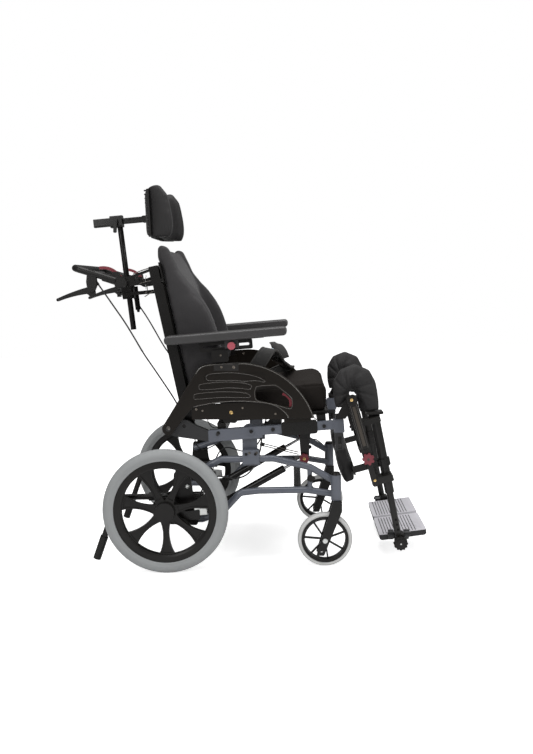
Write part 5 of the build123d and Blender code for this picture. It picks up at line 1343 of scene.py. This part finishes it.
# %% Post details
POST_SCREW = (192, 697)
BRACKET_PLACE, BRACKET_STEPS = (214, 494), 48
for side_name, side in SIDES:
    form = bmesh.new()
    place = touch(f"arm_post_{side_name}", *POST_SCREW, side)
    add_disc(form, place, Vector((0, side, 0)), 3.2, 1.6, 16, 0.5)
    finished(form, f"post_screws_{side_name}", screw_shine, f"arm_post_{side_name}")
    form = bmesh.new()
    lobes = []
    for step in range(BRACKET_STEPS):
        turn = 2 * pi * step / BRACKET_STEPS
        far = 21 + 4.5 * cos(3 * (turn - radians(90)))
        lobes.append((BRACKET_PLACE[0] + far * cos(turn), BRACKET_PLACE[1] + far * sin(turn)))
    side_plate(form, lobes, 244.5, 249.5, side, 0.8)
    finished(form, f"post_bracket_{side_name}", black_nylon, "seat")
print("armrest details done")

# %% [markdown]
# ## Lap belt
# The belt is a padded strap with bound edges. Its near half stands up from the side of the seat and
# folds over at the hip, and the far half lies across the cushion. They meet in a buckle, and the
# strap's loose end stands up from it. A strap is a flat padded section that follows a line, so it
# is swept, with its width turned wherever the strap turns.

# %% Lap belt


def swept_strap(name, stations, half_width, half_thick, power=3.0, ring_steps=16):
    """A flat padded strap. Each station is x, y, z and the direction of its width."""
    line = smooth_line([(*place, *across) for place, across in stations], steps=5)
    form = bmesh.new()
    rows = []
    for index, both in enumerate(line):
        place, across = Vector(both[:3]), Vector(both[3:]).normalized()
        before, after = line[max(0, index - 1)], line[min(len(line) - 1, index + 1)]
        run = (Vector(after[:3]) - Vector(before[:3])).normalized()
        across = (across - run * across.dot(run)).normalized()
        through = run.cross(across)
        row = []
        for c, s in round_steps(ring_steps, power):
            offset = across * half_width * c + through * half_thick * s
            row.append(form.verts.new(at(*(place + offset))))
        rows.append(row + row[:1])
    return shut_tube(form, rows, name)


def edge_line(stations, shift):
    """The same line moved across by some millimetres, for the binding of the strap's edge."""
    moved = []
    for place, across in stations:
        across = Vector(across).normalized()
        moved.append((tuple(Vector(place) + across * shift), tuple(across)))
    return moved


def on_seat(made, material):
    """Gives a piece of the belt its finish, and the seat to ride on."""
    dress(made, material)
    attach(made, "seat")
    return made


belt_cloth = woven(
    "belt_cloth", (0.014, 0.0135, 0.013), (0.03, 0.029, 0.028), 0.75, 0.2, scale=700, sheen=0.1
)
belt_binding = woven(
    "belt_binding", (0.02, 0.019, 0.018), (0.045, 0.043, 0.04), 0.6, 0.2, scale=1400
)
NEAR_HALF = (
    ((190, -219.5, 506), (0.8, 0, -0.6)), ((228, -219.5, 558), (0.82, 0, -0.57)),
    ((272, -220, 612), (0.86, 0, -0.5)), ((301, -220.5, 652), (0.92, 0, -0.38)),
    ((321, -218, 681), (0.95, 0, -0.3)), ((334, -206, 699), (0.97, 0, -0.22)),
    ((342, -185, 706), (0.98, 0.05, -0.2)), ((349, -158, 702), (0.97, 0.1, -0.25)),
    ((358, -128, 686), (0.95, 0.12, -0.3)), ((368, -98, 665), (0.93, 0.14, -0.34)),
)
FAR_HALF = (
    ((200, 219.5, 508), (0.8, 0, -0.6)), ((262, 219.5, 545), (0.75, 0, -0.66)),
    ((330, 219.8, 578), (0.7, 0, -0.7)), ((378, 219.5, 600), (0.8, 0, -0.6)),
    ((400, 210, 611), (0.95, 0, -0.25)), ((404, 180, 613), (0.98, 0, -0.1)),
    ((402, 130, 615), (0.98, 0, -0.12)), ((397, 70, 622), (0.97, 0, -0.2)),
    ((389, 10, 634), (0.95, 0.1, -0.3)), ((380, -45, 650), (0.93, 0.14, -0.34)),
)
EDGE_SHARE = 0.93  # where the binding's middle lies, as a share of the strap's half width
for name, stations, half_width in (("belt_near", NEAR_HALF, 24.0), ("belt_far", FAR_HALF, 20.0)):
    strap = on_seat(swept_strap(name, stations, half_width, 3.6), belt_cloth)
    if name == "belt_near":
        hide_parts("lap_belt")
    for hand in (-1, 1):
        edge = edge_line(stations, hand * EDGE_SHARE * half_width)
        on_seat(swept_strap(f"{name}_binding", edge, 2.8, 4.4, 2.2, 10), belt_binding)

# %% Buckle, loose end and label
BUCKLE = (
    ((362, -112, 678), (0.93, 0.14, -0.34)), ((370, -90, 662), (0.93, 0.14, -0.34)),
    ((378, -62, 652), (0.93, 0.14, -0.34)), ((383, -38, 645), (0.93, 0.14, -0.34)),
)
LOOSE_END = (
    ((384, -46, 660), (0.75, 0.0, -0.66)), ((376, -44, 684), (0.8, 0.1, -0.6)),
    ((364, -40, 704), (0.82, 0.15, -0.57)), ((350, -34, 718), (0.8, 0.2, -0.6)),
)
LABEL = (
    ((354, -140, 703), (0.5, 0.3, -0.8)), ((362, -126, 694), (0.5, 0.3, -0.8)),
    ((372, -112, 682), (0.5, 0.3, -0.8)),
)
buckle_plastic = finish(
    "buckle_plastic", (0.008, 0.008, 0.008), (0.014, 0.014, 0.014), 0.25, 0.01, coat=0.4
)
label_white = finish("label_white", (0.4, 0.62, 0.74), (0.85, 0.88, 0.9), 0.5, 0.02, scale=60)
on_seat(swept_strap("buckle", BUCKLE, 22.0, 7.0, 5.0, 20), buckle_plastic)
on_seat(swept_strap("belt_loose_end", LOOSE_END, 25.0, 3.0, 4.0, 16), belt_cloth)
on_seat(swept_strap("belt_label", LABEL, 6.0, 0.5, 4.0, 10), label_white)

# %% [markdown]
# ## Headrest studs
# The headrest's cover is held along the shell's rear edge by a row of studs.

# %% Studs
STUD_HEIGHTS = (1092, 1103, 1115, 1136, 1152, 1179, 1192, 1206, 1219, 1231)
STUD_STRIP = ((-40, 1086), (-33, 1086), (-36, 1238), (-45, 1236))
for side_name, side in SIDES:
    form = bmesh.new()
    side_plate(form, STUD_STRIP, 112, 148, side, 1.5)
    for index, z in enumerate(STUD_HEIGHTS):
        add_disc(form, at(-39 - index * 0.5, side * 146, z), Vector((-1, 0, 0)), 2.6, 8.0, 10)
    finished(form, f"headrest_studs_{side_name}", black_nylon, "headrest")
print(len(STUD_HEIGHTS), "studs on each side")

# %% [markdown]
# ## Rods and wires
# Thin rods and the ends of the wires show between the larger parts. They are round sections swept
# along a few points.

# %% Rods and wires
def rod(name, points, radius, material, body, side):
    """A thin round rod along points given for the right side."""
    stations = [((x, side * out, z), (0.3, 1, 0.2)) for x, out, z in points]
    made = swept_strap(name, stations, radius, radius, 2.0, 8)
    dress(made, material)
    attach(made, body)


REAR_LOOP = ((90, 428), (93, 405), (104, 388), (122, 382), (153, 394), (187, 412))
RODS = {
    "seat": (
        ("lock_rod_upper", dark_steel, 1.6, ((317, 205, 398), (375, 205, 382), (432, 205, 367))),
        ("lock_rod_lower", dark_steel, 1.6, ((317, 205, 391), (375, 205, 375), (432, 205, 360))),
        ("lock_nut", black_nylon, 6.5, ((306, 205, 398), (320, 205, 394))),
        ("lock_wire", cable_skin, 1.6, ((419, 225, 436), (427, 225, 424), (440, 222, 412))),
        (
            "front_wire", cable_skin, 1.8,
            ((466, 222, 413), (488, 224, 412), (505, 224, 400), (519, 224, 386)),
        ),
        ("rear_wire", cable_skin, 1.8, [(x, 200, z) for x, z in REAR_LOOP]),
    ),
    "backrest": (
        (
            "hook", zinc, 1.2,
            ((-10, 205, 984), (-4, 205, 987), (3, 205, 962), (9, 205, 938), (3, 205, 936)),
        ),
        ("link_upper", dark_steel, 1.6, ((-38, 200, 979), (-62, 200, 972), (-88, 200, 962))),
        ("link_middle", dark_steel, 1.5, ((-10, 197, 942), (-38, 197, 938), (-70, 197, 931))),
        ("link_lower", dark_steel, 1.5, ((-22, 190, 908), (-40, 190, 898), (-56, 190, 888))),
        (
            "link_wire", dark_steel, 1.3,
            ((-62, 193, 958), (-58, 193, 942), (-48, 193, 926), (-46, 193, 908), (-54, 193, 898)),
        ),
        ("link_wire_b", zinc, 1.3, ((-50, 182, 957), (-53, 182, 938), (-52, 182, 912))),
    ),
}
for side_name, side in SIDES:
    for body, rods in RODS.items():
        for name, material, radius, points in rods:
            rod(f"{name}_{side_name}", points, radius, material, body, side)
print("rods and wires on each side", sum(len(rods) for rods in RODS.values()))

# %% [markdown]
# Under the seat, a star knob on each side sets the seat's length. It is a lobed disc with a brass
# screw in its middle, at the foot of the seat's own bracket. A smaller one closes the cross tube.

# %% Star knobs


def star(form, x, z, low, high, radius, lobes, side, depth=0.13):
    """Adds a lobed disc between two distances out."""
    outline = []
    for step in range(lobes * 8):
        turn = 2 * pi * step / (lobes * 8)
        far = radius * (1 - depth / 2 + depth / 2 * cos(lobes * turn))
        outline.append((x + far * cos(turn), z + far * sin(turn)))
    side_plate(form, outline, low, high, side, 1.2)


LENGTH_KNOB = (450, 344)
CROSS_KNOB = (471.3, 290.3)
for side_name, side in SIDES:
    form = bmesh.new()
    star(form, *LENGTH_KNOB, 190, 205, 16.5, 7, side)
    finished(form, f"length_knob_{side_name}", maroon_plastic, "seat")
    form = bmesh.new()
    screw_place = at(LENGTH_KNOB[0], side * 205, LENGTH_KNOB[1])
    add_disc(form, screw_place, Vector((0, side, 0)), 5.0, 1.4, 20, 0.6)
    finished(form, f"length_knob_screw_{side_name}", brass, "seat")
    form = bmesh.new()
    star(form, *CROSS_KNOB, 250, 257, 12.5, 3, side, 0.3)
    finished(form, f"frame_knob_{side_name}", black_nylon, "chassis")
print("star knobs")

# %% [markdown]
# ## Drum brakes
# Each brake has an adjuster: a zinc barrel with a brass rod, where the cable's sleeve ends. Two
# zinc nuts hold the brake's plate.

# %% Brake adjusters
ADJUSTER = ((87, 178), (134, 181), (131, 203), (90, 206))
ADJUSTER_ROD = ((58, 268, 187), (74, 268, 188), (90, 268, 190))
for side_name, side in SIDES:
    form = bmesh.new()
    side_plate(form, ADJUSTER, 262, 274, side, 2.0)
    finished(form, f"brake_adjuster_{side_name}", zinc, "chassis")
    rod(f"brake_adjuster_rod_{side_name}", ADJUSTER_ROD, 2.6, brass, "chassis", side)
    form = bmesh.new()
    for x, z, radius in ((66, 308, 6.0), (68, 273, 7.5)):
        place = touch("axle_plates", x, z, side, start=315)
        add_disc(form, place, Vector((0, side, 0)), radius, 4.0, 6, 0.55)
    finished(form, f"plate_nuts_{side_name}", zinc, "chassis")
print("brake adjusters and plate nuts")

# %% [markdown]
# ## Legrests
# The upper half of a legrest is an aluminium profile with a warm brown stripe down its face,
# between two fine bright lines. The stripe's lighter tone and the two lines are painted highlight,
# for the light on the profile's face and edges. A star knob clamps the footplate's hinge.

# %% Legrest stripe and foot knob
LEG_SLOPE = radians(-75.5)
KNEE_PIN = (603, 547)
FOOT_KNOB = (755.1, 72.9)


def leg_plate(form, along, across, low, high, side, round_by):
    """Adds a strip on the legrest, from its ends along the tube and its edges across it."""
    run_x, run_z = cos(LEG_SLOPE), sin(LEG_SLOPE)
    outline = [
        (KNEE_PIN[0] + run_x * a - run_z * b, KNEE_PIN[1] + run_z * a + run_x * b)
        for a, b in zip((along[0], along[0], along[1], along[1]), across + across[::-1])
    ]
    side_plate(form, outline, low, high, side, round_by)


# Painted highlight: the stripe's warm lighter tone and the two bright lines stand for light on the
# profile.
leg_face_highlight = finish("leg_face_highlight", (0.03, 0.024, 0.018), (0.05, 0.04, 0.03), 0.3, 0.01, coat=0.3)
for side_name, side in SIDES:
    form = bmesh.new()
    leg_plate(form, (22, 153), (-5.4, 5.4), 283.6, 285.2, side, 0.4)
    finished(form, f"leg_highlight_stripe_{side_name}", leg_face_highlight, f"leg_{side_name}")
    form = bmesh.new()
    for across in (-9.5, 9.5):
        leg_plate(form, (16, 160), (across - 0.6, across + 0.6), 285.6, 286.5, side, 0.0)
    finished(form, f"leg_highlight_lines_{side_name}", painted_edge_highlight, f"leg_{side_name}")
knob_x, knob_z = FOOT_KNOB
for side_name, side in SIDES:
    outward = Vector((0, side, 0))
    form = bmesh.new()
    star(form, knob_x, knob_z, 257, 271, 23.5, 12, side, 0.12)
    add_disc(form, at(knob_x, side * 271, knob_z), outward, 15.0, 3.0, 32)
    finished(form, f"foot_knob_{side_name}", black_nylon, f"foot_tube_{side_name}")
    form = bmesh.new()
    add_disc(form, at(knob_x, side * 274, knob_z), outward, 2.6, 1.0, 16)
    finished(form, f"foot_knob_screw_{side_name}", zinc, f"foot_tube_{side_name}")
print("legrest details")
